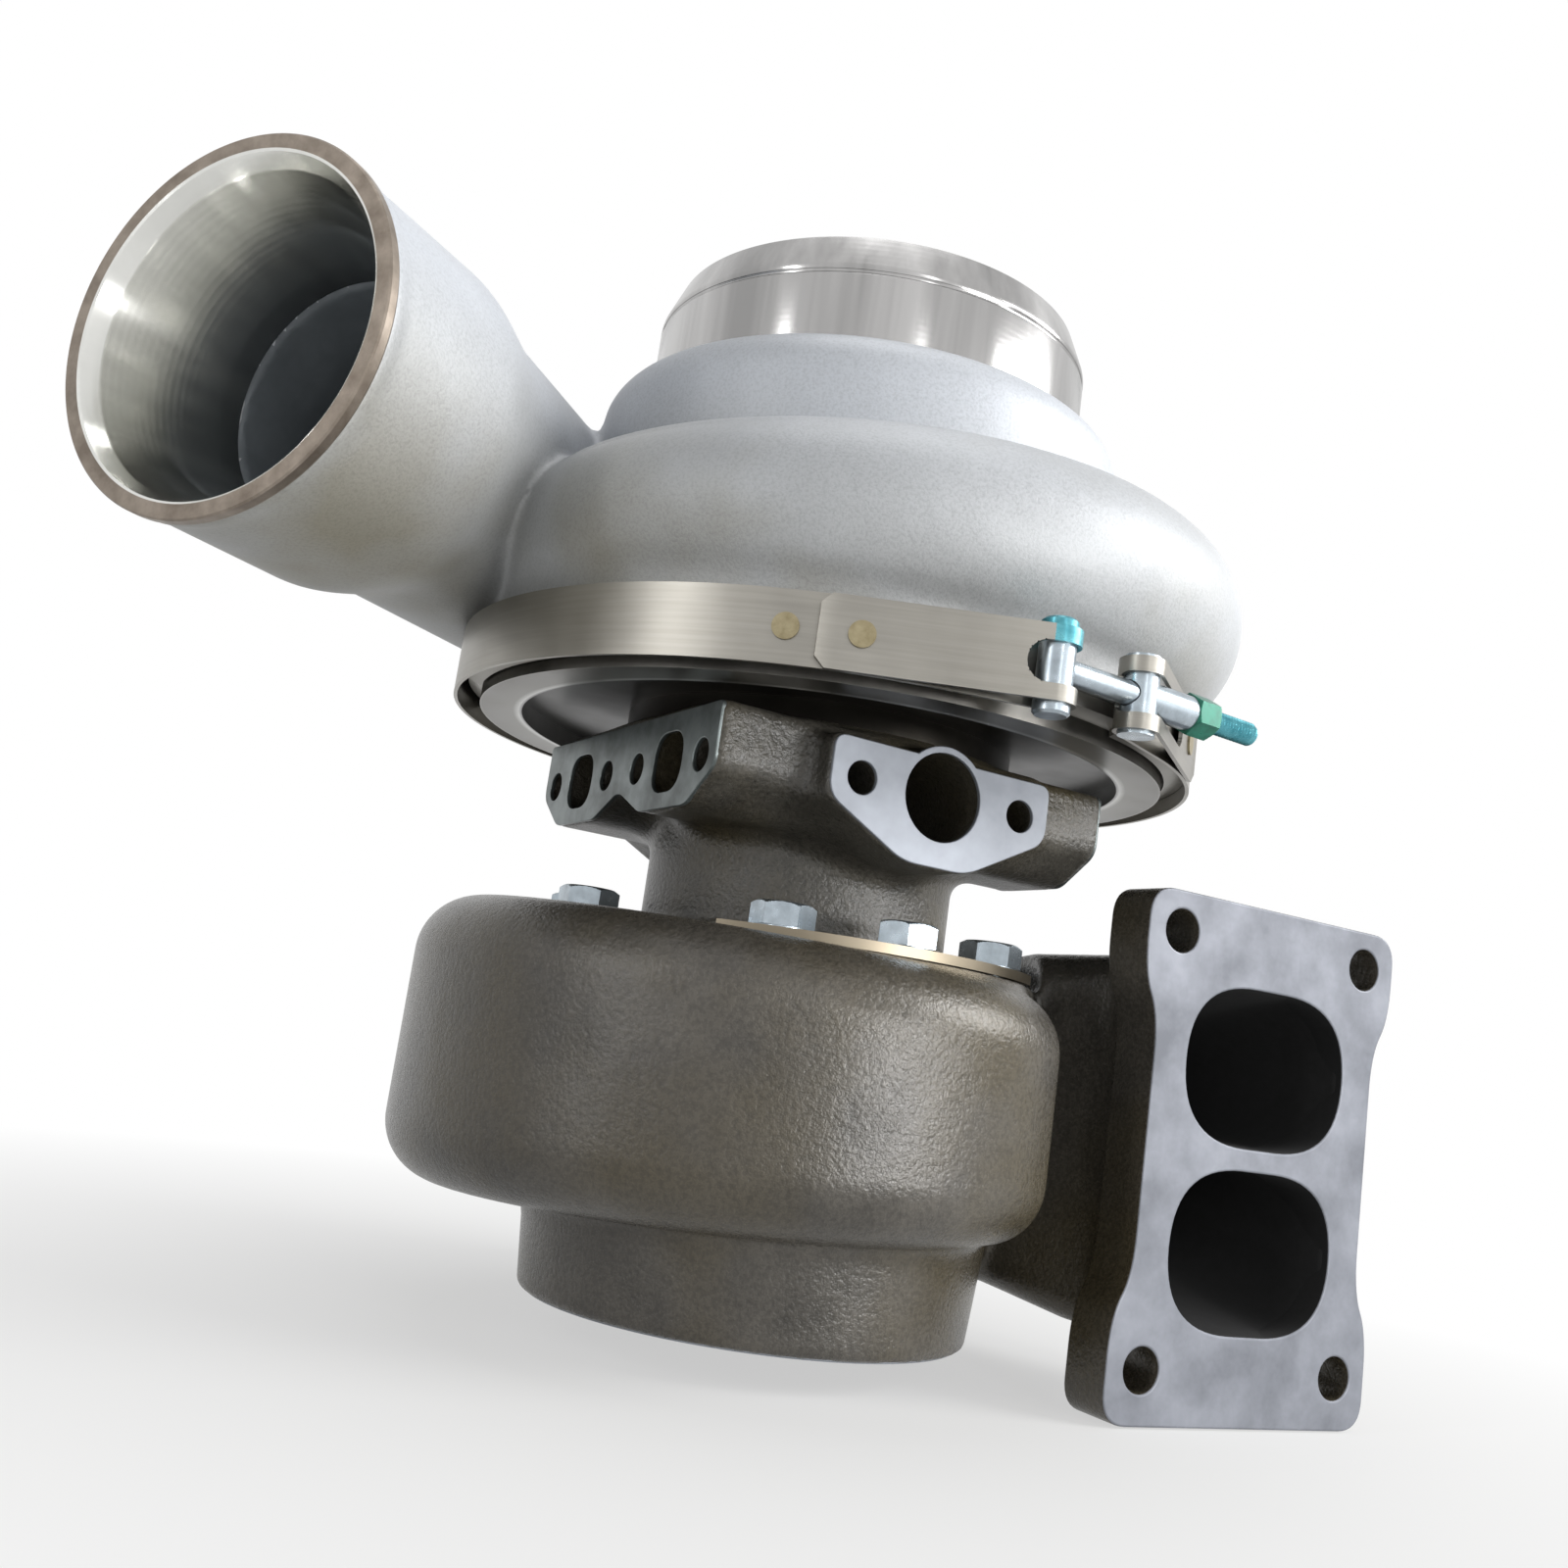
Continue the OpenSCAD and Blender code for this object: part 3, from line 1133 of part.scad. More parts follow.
module band_rivets() {
    color("#a58f5c") for (s = [-1, 1]) {
        land_az = band_gap_az + s * (loop_half_angle + leg_out_angle);
        rotate(land_az) translate([outer_layer_r + strap_t / 2 + leg_swell, -s * rivet_back, joint_z])
            rotate([0, 90, 0]) cylinder(r = rivet_r, h = rivet_t);
        rotate(land_az + s * rivet_back) translate([band_r, 0, joint_z])
            rotate([0, 90, 0]) cylinder(r = rivet_r, h = rivet_t);
    }
}
module band_t_bolt() {
    color("#a9adb0") on_rod(-loop_y) {
        cylinder(r = t_head_r, h = t_head_len, center = true);
        rotate([-90, 0, 0]) cylinder(r = rod_r, h = t_rod_len);
    }
}
module band_trunnion() {
    color("#b5b1a8") on_rod(loop_y) difference() {
        union() {
            cylinder(r = t_head_r, h = band_w + 2 * cut, center = true);
            rotate([-90, 0, 0]) cylinder(r = rod_r + sleeve_wall, h = t_head_r + sleeve_len);
        }
        translate([0, -2 * t_head_r, 0]) rotate([-90, 0, 0])
            cylinder(r = rod_r + rod_gap, h = 4 * t_head_r + sleeve_len);
    }
}
module band_lock_nut() {
    color("#2f8f6b") on_rod(loop_y + t_head_r + sleeve_len) rotate([-90, 0, 0]) difference() {
        cylinder(d = lock_nut_af / cos(30), h = lock_nut_len, $fn = 6);
        translate([0, 0, -cut]) cylinder(r = rod_r + seat_gap / 2, h = lock_nut_len + 2 * cut);
    }
}

turbine_housing();
clamp_plates();
clamp_bolts();
heat_shield();
turbine_wheel_shaft();
turbine_piston_ring();
centre_housing();
lower_journal_bearing();
upper_journal_bearing();
bearing_spacer();
bearing_snap_rings();
thrust_washer();
thrust_bearing();
thrust_screws();
thrust_collar();
oil_baffle();
seal_sleeve();
compressor_piston_ring();
housing_seal();
back_plate();
back_plate_screws();
cover_seal();
compressor_wheel();
compressor_nut();
compressor_cover();
band_segments();
band_strap();
band_rivets();
band_t_bolt();
band_trunnion();
band_lock_nut();
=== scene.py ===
import math

import bmesh
import bpy
import numpy as np
from bpy.props import FloatProperty, FloatVectorProperty, IntProperty, PointerProperty
from mathutils import Matrix, Vector


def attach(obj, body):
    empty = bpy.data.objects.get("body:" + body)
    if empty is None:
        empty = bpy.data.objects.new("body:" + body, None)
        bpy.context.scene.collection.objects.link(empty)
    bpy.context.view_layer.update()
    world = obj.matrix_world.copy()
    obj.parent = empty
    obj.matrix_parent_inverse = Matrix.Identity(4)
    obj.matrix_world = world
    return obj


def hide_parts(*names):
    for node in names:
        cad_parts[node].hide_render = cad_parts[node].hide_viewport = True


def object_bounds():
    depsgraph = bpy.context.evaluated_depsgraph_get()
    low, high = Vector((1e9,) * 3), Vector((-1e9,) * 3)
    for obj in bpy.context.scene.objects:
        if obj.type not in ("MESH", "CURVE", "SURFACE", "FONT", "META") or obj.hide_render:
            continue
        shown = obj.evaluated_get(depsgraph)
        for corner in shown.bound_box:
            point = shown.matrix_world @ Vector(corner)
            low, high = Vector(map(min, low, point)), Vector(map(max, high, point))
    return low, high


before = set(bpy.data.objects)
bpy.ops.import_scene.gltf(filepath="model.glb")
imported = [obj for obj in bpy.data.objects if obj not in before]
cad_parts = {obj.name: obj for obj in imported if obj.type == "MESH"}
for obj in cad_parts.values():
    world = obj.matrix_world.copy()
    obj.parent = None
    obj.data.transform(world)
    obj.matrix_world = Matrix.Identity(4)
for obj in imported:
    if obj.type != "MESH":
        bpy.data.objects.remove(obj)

bl_info = {
    "name": "Turbocharger dress",
    "version": (1, 0, 0),
    "blender": (4, 5, 0),
    "location": "View3D > Sidebar > Turbo",
    "description": "Castings, turned faces, bladed wheels and finishes of a divided-entry turbocharger",
    "category": "Object",
}

CAD_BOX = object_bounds()

# Sizes and places of the solids, in millimetres and degrees. First the levels of the castings
TURB_TOP_Z, TURB_MID_Z = 116.0, 74.5
JOINT_Z = 195.5
BOSS_TOP_Z, INLET_TOP_Z, LEAD_Z = 302.7, 341.2, 329.0
COVER_FLOOR_Z = 208.0
# Compressor outlet: azimuth where the scroll ends, directions out and along the throat, the mouth's middle
EXIT_AZ = 126.9
EXIT_R = np.array([math.cos(math.radians(EXIT_AZ)), math.sin(math.radians(EXIT_AZ)), 0.0])
EXIT_T = np.array([-EXIT_R[1], EXIT_R[0], 0.0])
MOUTH_REACH, MOUTH_OFFSET, MOUTH_Z = 194.0, 108.4, 255.85
UP = np.array([0.0, 0.0, 1.0])
MOUTH = MOUTH_OFFSET * EXIT_R + MOUTH_REACH * EXIT_T + MOUTH_Z * UP
# Turbine inlet: place and thickness of the flange, its two ports, its waisted outline and its bolt holes
INLET_X, INLET_FACE, INLET_MID_Z, FLANGE_T = 129.5, -92.35, 72.6, 18.0
PORT_Z = (100.05, 42.45)
PORT_HALF_U, PORT_HALF_V = 34.75, 25.25
FLANGE_HALF, FLANGE_WAIST, WAIST_V, WAIST_RUN = 55.5, 48.5, 39.0, 12.6
FLANGE_BOLTS = [(u, v) for u in (-41.5, 41.5) for v in (-66.65, 66.65)]
# Centre housing: levels of the ports, and how far off the middle the holes and coolant ports lie
BLOCK_Z, OIL_INLET_Z = 165.0, 156.0
DRAIN_HOLE_X, FEED_HOLE_X = 28.9, 20
COOLANT_PORTS_Y, COOLANT_HOLES_Y = (-35, 35), (-57.75, -12.25, 12.25, 57.75)
# Band: its rod's distance from the shaft, half the way between its loops, and the directions out through
# the gap and along the rod
ROD_X, LOOP_Y = 132.7, 16.3
BAND_AZ = math.radians(-85.5)
BAND_OUT = np.array([math.cos(BAND_AZ), math.sin(BAND_AZ), 0.0])
BAND_ALONG = np.array([-BAND_OUT[1], BAND_OUT[0], 0.0])
# Clamp bolts: azimuth of the first plate's middle, and the circle that they stand on
CLAMP_AZ, CLAMP_R = -92.0, 74.0
# Compressor scroll from tongue to throat: radius of its section, and of the circle that its centre is on
COVER_SECTION, COVER_CENTRE = (26.0, 43.6), (97.0, 114.0)
# Degrees back from the throat to the tongue, to the scroll's blunt end, and to where its start is nearer
COVER_TURN, COVER_END, COVER_SPLIT = 307, 322, 341
# Throat: where its axis reaches the mouth's line, its radius, the steps out to its collar and rim, its bore
THROAT_RUN, THROAT_R, COLLAR_STEP, RIM_STEP, PASSAGE_R = 112, 48.9, 6.6, 1.1, 37.6
# Turbine scroll: outer radius at the start and after a full turn, and its inner side; azimuths where it
# fades and ends, and past which its start is nearer; the radius it fades to; its height at both ends
SCROLL_START_R, SCROLL_FULL_R, SCROLL_INNER_R = 149, 90, 45
SCROLL_FADE_AZ, SCROLL_END_AZ, SCROLL_SPLIT_AZ, SCROLL_FADE_R = 296, 326, 343, 74
SCROLL_HEIGHT = (110, 77)
# Turbine inlet duct: its length, and low x, high x, low z, high z of its box at the flange and the scroll
DUCT_RUN = 83.35
DUCT_AT_FLANGE, DUCT_AT_SCROLL = (87.75, 171.25, 10.2, 132.3), (59, 149, 19.5, 129.5)
# Outlines turned about the shaft as (height, radius), and the outlet's bore as (distance along it, radius)
COVER_BORE = ((190, 106), (203.8, 106), (203.9, 65), (215, 55), (232, 49.5), (254, 49), (300, 62),
              (329, 70.5), (345, 70.5))
OUTLET_BORE = ((0, PASSAGE_R), (119, PASSAGE_R), (140.5, 40.2), (142, 43), (189, 50.5), (200, 53.5))
TURBINE_CORE = ((0, 72.75), (33, 76), (37, 78), (107, 78), (110, 82.5), (116, 82.5))
TURBINE_BORE = ((-5, 68.6), (6, 68.6), (39, 52.5), (45, 52.5), (58, 57), (62, 70), (95, 70), (96, 61),
                (106.5, 61), (107, 67.5), (120, 67.5))
HOUSING_NECK = ((116, 54.5), (122, 51.5), (160, 51.5), (173, 64))
HOUSING_BORE = ((95, 16.2), (107, 16.2), (107.2, 24), (170.8, 24), (171, 35), (190, 35))
# Ends (radius, height) of the wheels' hub and shroud curves
COMP_HUB, COMP_SHROUD = ((15.5, 238), (61.6, 195.5)), ((46, 238), (61.6, 202.5))
TURB_HUB, TURB_SHROUD = ((14.5, 92.6), (56.6, 45.1)), ((49.5, 75.6), (56.6, 45.1))


def linear(code):
    """An sRGB hex colour as scene-linear red, green, blue."""
    v = np.array([int(code[i:i + 2], 16) for i in (1, 3, 5)]) / 255
    return tuple(float(c) for c in np.where(v <= 0.04045, v / 12.92, ((v + 0.055) / 1.055) ** 2.4))


def length(name, what, mm):
    """A property for a length, its default given in millimetres."""
    return FloatProperty(name=name, description=what, default=mm / 1000, unit="LENGTH")


def colour(name, what, code):
    """A property for a colour, its default given as an sRGB hex code."""
    return FloatVectorProperty(name=name, description=what, subtype="COLOR", size=3, min=0, max=1,
                               default=linear(code))


class CastingSizes(bpy.types.PropertyGroup):
    """Sizes of the sand castings."""
    cover_grid: length("Cover grid", "Cell of the grid that the cover is drawn on", 2.22)
    turbine_grid: length("Turbine grid", "Cell of the grid for the turbine housing", 2.1)
    centre_grid: length("Centre grid", "Cell of the grid for the centre housing", 1.3)
    throat_fillet: length("Throat fillet", "Fillet where the throat leaves the scroll", 5)
    parting_ledge: length("Parting ledge", "Step that the mould's halves leave on the scroll", 0.9)
    boss_fillet: length("Boss fillet", "Fillet round the foot of the inlet boss", 6)
    turbine_fillet: length("Turbine fillet", "Fillet between scroll and outlet pipe", 7)
    flange_fillet: length("Flange fillet", "Fillet behind the inlet flange", 10)
    housing_fillet: length("Housing fillet", "Fillets of the centre housing", 8)


class FittingSizes(bpy.types.PropertyGroup):
    """Sizes of the machined and bought-in pieces."""
    edge_break: length("Edge break", "Chamfer that breaks every machined edge", 0.5)
    turn_steps: IntProperty(name="Turned steps", description="Steps round a turned face", default=192, min=48)
    comp_blades: IntProperty(name="Compressor blades", description="Number of long blades", default=7, min=3)
    turb_blades: IntProperty(name="Turbine blades", description="Number of turbine blades", default=11, min=3)
    blade_root: length("Blade root", "Blade thickness at the hub", 2.4)
    blade_tip: length("Blade tip", "Blade thickness at the tip", 1.2)
    clamp_head: length("Clamp bolt flats", "Width across flats of the clamp bolts", 17)
    rod_pitch: length("Rod thread pitch", "Pitch of the T-bolt's thread", 1.25)


class FinishColours(bpy.types.PropertyGroup):
    """Colours of the finishes."""
    cover: colour("Cover", "Sand-cast aluminium", "#bfc3c9")
    turned: colour("Turned", "Turned aluminium", "#b8b7b6")
    turbine: colour("Turbine", "Oiled cast iron of the turbine housing", "#5f5b54")
    housing: colour("Centre housing", "Oiled cast iron of the centre housing", "#56534c")
    milled: colour("Milled iron", "Milled faces on the iron castings", "#9a9fa8")
    band: colour("Band", "Brushed stainless strap", "#95928b")
    zinc: colour("Zinc", "Zinc-plated bolts", "#b3bec6")
    brass: colour("Clamp plates", "Yellow-passivated clamp plates", "#857c6c")
    nut: colour("Lock nut", "Green coated lock nut", "#1a7560")
    floor: colour("Floor", "Studio floor", "#cbcbc9")


# Shaping

def smooth_min(a, b, k):
    """Lower of two distances, with a fillet of about k where they meet: the blend h runs from 0 to 1 over
    a band of width k, and k h (1 - h) is taken off in it."""
    h = np.clip(0.5 + 0.5 * (b - a) / k, 0, 1)
    return b + (a - b) * h - k * h * (1 - h)


def smooth_max(a, b, k):
    """Higher of two distances, with an edge rounded by about k."""
    return -smooth_min(-a, -b, k)


def mix(a, b, t):
    """The value that lies the share t of the way from a to b."""
    return a + (b - a) * t


def ease(t):
    """A smooth step from 0 to 1: three t squared less two t cubed."""
    return t * t * (3 - 2 * t)


def box2(u, v, half_u, half_v, corner):
    """Distance to a rectangle with rounded corners: outside part plus inside part of the offset from the
    corner's centre, less the corner's radius."""
    p, q = np.abs(u) - half_u + corner, np.abs(v) - half_v + corner
    return np.hypot(np.maximum(p, 0), np.maximum(q, 0)) + np.minimum(np.maximum(p, q), 0) - corner


def convex2(u, v, corners, k):
    """Distance to a convex outline: the highest of the signed distances to its sides, edges rounded by k."""
    d = None
    for (au, av), (bu, bv) in zip(corners, corners[1:] + corners[:1]):
        n = math.hypot(bu - au, bv - av)
        side = ((u - au) * (bv - av) - (v - av) * (bu - au)) / n
        d = side if d is None else smooth_max(d, side, k)
    return d


def table(at, rows):
    """Value at each place of a table of (place, value) rows, going straight from row to row."""
    return np.interp(at, *zip(*rows))


def past_end(d, v):
    """Distance beyond the flat end of a swept section, v being how far past the end a point is."""
    return np.where(v > 0, np.hypot(np.maximum(d, 0), v), d)


def cylinder(u, v, w, r, low, high):
    """Distance to a cylinder of radius r along w between two levels."""
    return np.maximum(np.hypot(u, v) - r, np.maximum(low - w, w - high))


def level_surface(field, low, high, step):
    """Surface where a distance field is zero. Each grid cell that the surface crosses gets one vertex at
    the mean of the crossings on its twelve edges; four cells round a crossed grid edge make one face; then
    three Newton steps, distance over gradient squared times gradient, put every vertex on the surface."""
    axes = [np.arange(a, b + step, step) for a, b in zip(low, high)]
    grid = np.meshgrid(*axes, indexing="ij")
    d = field(*grid)
    inside = d < 0
    cells = tuple(n - 1 for n in d.shape)

    def corner(a, c):
        """Values of a grid at the same corner of every cell."""
        return a[tuple(slice(o, o + n) for o, n in zip(c, cells))]

    corners = [(i, j, k) for i in (0, 1) for j in (0, 1) for k in (0, 1)]
    count = sum(corner(inside, c).astype(np.int8) for c in corners)
    active = (count > 0) & (count < 8)
    number = np.full(cells, -1)
    number[active] = np.arange(int(active.sum()))
    total, hits = np.zeros((int(active.sum()), 3)), np.zeros(int(active.sum()))
    for a in corners:
        for axis in range(3):
            if a[axis]:
                continue
            b = tuple(1 if i == axis else o for i, o in enumerate(a))
            da, db = corner(d, a)[active], corner(d, b)[active]
            crossed = (da < 0) != (db < 0)
            at = np.tile(np.array(a, float), (len(da), 1))
            at[:, axis] = np.where(crossed, da / np.where(da == db, 1, da - db), 0)
            total += at * crossed[:, None]
            hits += crossed
    points = np.array(low) + (np.argwhere(active) + total / hits[:, None]) * step
    probe = 0.2
    for _ in range(3):
        f = field(*points.T)
        g = np.stack([(field(*(points + s).T) - field(*(points - s).T)) / (2 * probe)
                      for s in probe * np.eye(3)], axis=1)
        move = -g * (f / np.maximum((g * g).sum(1), 0.25))[:, None]
        size = np.linalg.norm(move, axis=1, keepdims=True)
        points = points + move * np.minimum(1, 0.5 * step / np.maximum(size, 1e-9))
    faces = []
    for axis in range(3):
        s, t = [i for i in range(3) if i != axis]
        ahead = [slice(None)] * 3
        back = [slice(None)] * 3
        ahead[axis], back[axis] = slice(1, None), slice(None, -1)
        change = inside[tuple(ahead)] != inside[tuple(back)]
        at = np.argwhere(change)
        at = at[(at[:, s] > 0) & (at[:, t] > 0) & (at[:, s] < cells[s]) & (at[:, t] < cells[t])]
        ring = []
        for ds, dt in ((1, 1), (0, 1), (0, 0), (1, 0)):
            c = at.copy()
            c[:, s] -= ds
            c[:, t] -= dt
            ring.append(number[tuple(c.T)])
        quad = np.stack(ring, axis=1)
        flip = inside[tuple(at.T)] == (axis == 1)
        faces.append(np.where(flip[:, None], quad[:, ::-1], quad))
    return points, np.vstack(faces)


def grid_faces(rows, columns, close_rows=False, close_columns=True):
    """Quads of a grid of points, row after row, closed round in either direction."""
    i = np.arange(rows if close_rows else rows - 1)[:, None]
    j = np.arange(columns if close_columns else columns - 1)[None, :]
    a, b = i * columns + j, i * columns + (j + 1) % columns
    c, d = (i + 1) % rows * columns + (j + 1) % columns, (i + 1) % rows * columns + j
    return np.stack([a, b, c, d], axis=-1).reshape(-1, 4)


def cut_back(p, size, share):
    """For each corner of an outline, the points that lie size back along its two sides, but at most a side's
    length over share: corner plus that distance times the direction to the corner before, and to the next."""
    pair = []
    for shift in (1, -1):
        side = np.roll(p, shift, axis=0) - p
        far = np.linalg.norm(side, axis=1, keepdims=True)
        pair.append(p + side / far * np.minimum(size, far / share))
    return pair


def broken(profile, size, closed=True):
    """A profile with every corner cut back by size along both its sides, or by a third of a short side."""
    p = np.asarray(profile, float)
    q = np.stack(cut_back(p, size, 3), axis=1)
    if not closed:
        q[0, 0], q[0, 1], q[-1, 0], q[-1, 1] = p[0], p[0], p[-1], p[-1]
    return q.reshape(-1, 2)


def turned(profile, steps, origin=(0, 0, 0), along=(0, 0, 1), closed=True):
    """A profile of (radius, height) turned about an axis: point = origin + height along the axis + radius
    times (cos, sin) of the turn across it. A closed profile makes a ring, an open one ends on the axis."""
    p = np.asarray(profile, float)
    w = np.array(along, float)
    u = np.array([0, 0, 1.0]) if abs(w[2]) < 0.9 else np.array([1.0, 0, 0])
    v = np.cross(w, u)
    turn = np.linspace(0, 2 * np.pi, steps, endpoint=False)
    spoke = np.cos(turn)[:, None] * u + np.sin(turn)[:, None] * v
    points = np.array(origin) + p[:, None, 1:2] * w + p[:, None, 0:1] * spoke[None]
    return points.reshape(-1, 3), grid_faces(len(p), steps, close_rows=closed)


def hexagon(flats, height, base, bore=0.0, both=True):
    """A hex head or nut: at each height the radius is the lower of the hexagon's and a 30 degree cone that
    starts at 0.95 of the flats on the end faces, so that the corners fall away in arcs."""
    a = np.linspace(0, 2 * np.pi, 97)[:-1]
    flat = flats / 2 / np.cos((a + np.pi / 6) % (np.pi / 3) - np.pi / 6)
    fine = 1.6
    h = np.unique(np.concatenate([np.linspace(0, fine, 9), np.linspace(fine, height - fine, 3),
                                  np.linspace(height - fine, height, 9)]))
    slope = 1 / math.tan(math.radians(30))
    gap = np.minimum(height - h, h) if both else height - h
    r = np.minimum(flat[None, :], flats * 0.475 + gap[:, None] * slope)
    inner = np.full((1, len(a)), max(bore, 1e-4))
    rows = np.vstack([inner, r, inner])
    z = np.concatenate([[0], h, [height]])[:, None] + np.zeros((1, len(a)))
    points = np.stack([rows * np.cos(a), rows * np.sin(a), z + base], axis=-1).reshape(-1, 3)
    return points, grid_faces(len(rows), len(a), close_rows=bore > 0)


def joined(*shapes):
    """Several (points, faces) shapes as one."""
    start = np.cumsum([0] + [len(p) for p, _ in shapes[:-1]])
    return np.vstack([p for p, _ in shapes]), np.vstack([f + s for (_, f), s in zip(shapes, start)])


def turned_copies(shape, angles):
    """Copies of a shape turned about Z by each angle, in degrees."""
    points, faces = shape
    a = np.radians(np.asarray(angles, float))
    c, s = np.cos(a)[:, None], np.sin(a)[:, None]
    x, y = points[:, 0], points[:, 1]
    z = np.broadcast_to(points[:, 2], (len(a), len(points)))
    copies = np.stack([x * c - y * s, x * s + y * c, z], -1)
    start = np.arange(len(a)) * len(points)
    return copies.reshape(-1, 3), (faces[None] + start[:, None, None]).reshape(-1, 4)


def piece(name, shape, finishes, node, body="housing", crease=32, pick=None):
    """An object from points in millimetres and faces, merged at its poles and seams, smooth but for edges
    sharper than crease degrees. It rides on body and stands for node; pick gives each face's finish."""
    points, faces = shape
    mesh = bpy.data.meshes.new(name)
    mesh.from_pydata((points * 0.001).tolist(), [], faces.tolist())
    for finish in finishes:
        mesh.materials.append(FINISH[finish])
    bm = bmesh.new()
    bm.from_mesh(mesh)
    bmesh.ops.remove_doubles(bm, verts=bm.verts, dist=1e-6)
    bmesh.ops.dissolve_degenerate(bm, edges=bm.edges, dist=1e-7)
    bmesh.ops.recalc_face_normals(bm, faces=bm.faces)
    bm.to_mesh(mesh)
    bm.free()
    count = len(mesh.polygons)
    mesh.polygons.foreach_set("use_smooth", np.ones(count, bool))
    if pick is not None:
        centre, normal = np.empty(count * 3), np.empty(count * 3)
        mesh.polygons.foreach_get("center", centre)
        mesh.polygons.foreach_get("normal", normal)
        chosen = pick(centre.reshape(-1, 3) * 1000, normal.reshape(-1, 3))
        mesh.polygons.foreach_set("material_index", chosen.astype(np.int32))
    mesh.set_sharp_from_angle(angle=math.radians(crease))
    mesh.update()
    ob = bpy.data.objects.new(name, mesh)
    bpy.context.scene.collection.objects.link(ob)
    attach(ob, body)
    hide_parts(node)
    return ob


def plate(outline, holes, thickness, edge, origin, u, v):
    """A flat plate with holes from closed outlines in (u, v), its edges rounded by edge: a filled curve
    given depth and a bevel, made a mesh, then stood on its face with its thickness behind origin."""
    curve = bpy.data.curves.new("plate", "CURVE")
    curve.dimensions, curve.fill_mode = "2D", "BOTH"
    curve.extrude, curve.bevel_depth, curve.bevel_resolution = thickness / 2 - edge, edge, 2
    curve.offset = -edge
    for ring in [outline] + list(holes):
        spline = curve.splines.new("POLY")
        spline.points.add(len(ring) - 1)
        places = np.column_stack([ring, np.zeros(len(ring)), np.ones(len(ring))])
        spline.points.foreach_set("co", places.ravel())
        spline.use_cyclic_u = True
    holder = bpy.data.objects.new("plate", curve)
    bpy.context.scene.collection.objects.link(holder)
    mesh = holder.to_mesh()
    points = np.empty(len(mesh.vertices) * 3)
    mesh.vertices.foreach_get("co", points)
    mesh.calc_loop_triangles()
    faces = np.empty(len(mesh.loop_triangles) * 3, np.int32)
    mesh.loop_triangles.foreach_get("vertices", faces)
    holder.to_mesh_clear()
    bpy.data.objects.remove(holder)
    bpy.data.curves.remove(curve)
    p = points.reshape(-1, 3)
    u, v = np.array(u, float), np.array(v, float)
    w = np.cross(u, v)
    placed = np.array(origin) + p[:, :1] * u + p[:, 1:2] * v + (p[:, 2:] - thickness / 2) * w
    return placed, faces.reshape(-1, 3)


def ring2(u, v, r, steps=64):
    """A circle's points about (u, v)."""
    a = np.linspace(0, 2 * np.pi, steps, endpoint=False)
    return np.column_stack([u + r * np.cos(a), v + r * np.sin(a)])


def corners4(u, v):
    """Corners of a rectangle with half sides u and v, in order round it."""
    return [(-u, -v), (u, -v), (u, v), (-u, v)]


def rounded2(corners, radius, steps=10):
    """An outline whose corners are arcs: at each corner a quadratic curve runs between the points that lie
    radius back along its two sides."""
    p = np.asarray(corners, float)
    r = np.broadcast_to(np.asarray(radius, float), (len(p),))[:, None]
    a, b = cut_back(p, r, 2)
    t = np.linspace(0, 1, steps)[None, :, None]
    return ((1 - t) ** 2 * a[:, None] + 2 * t * (1 - t) * p[:, None] + t ** 2 * b[:, None]).reshape(-1, 2)


# Castings as distance fields, in millimetres

def throat_axis(along):
    """Offset and height of the throat's axis: straight from the scroll's end to the line through the mouth,
    and from there along that line."""
    t = np.clip(along / THROAT_RUN, 0, 1)
    return mix(COVER_CENTRE[1], MOUTH_OFFSET, t), mix(COVER_FLOOR_Z + COVER_SECTION[1], MOUTH_Z, t)


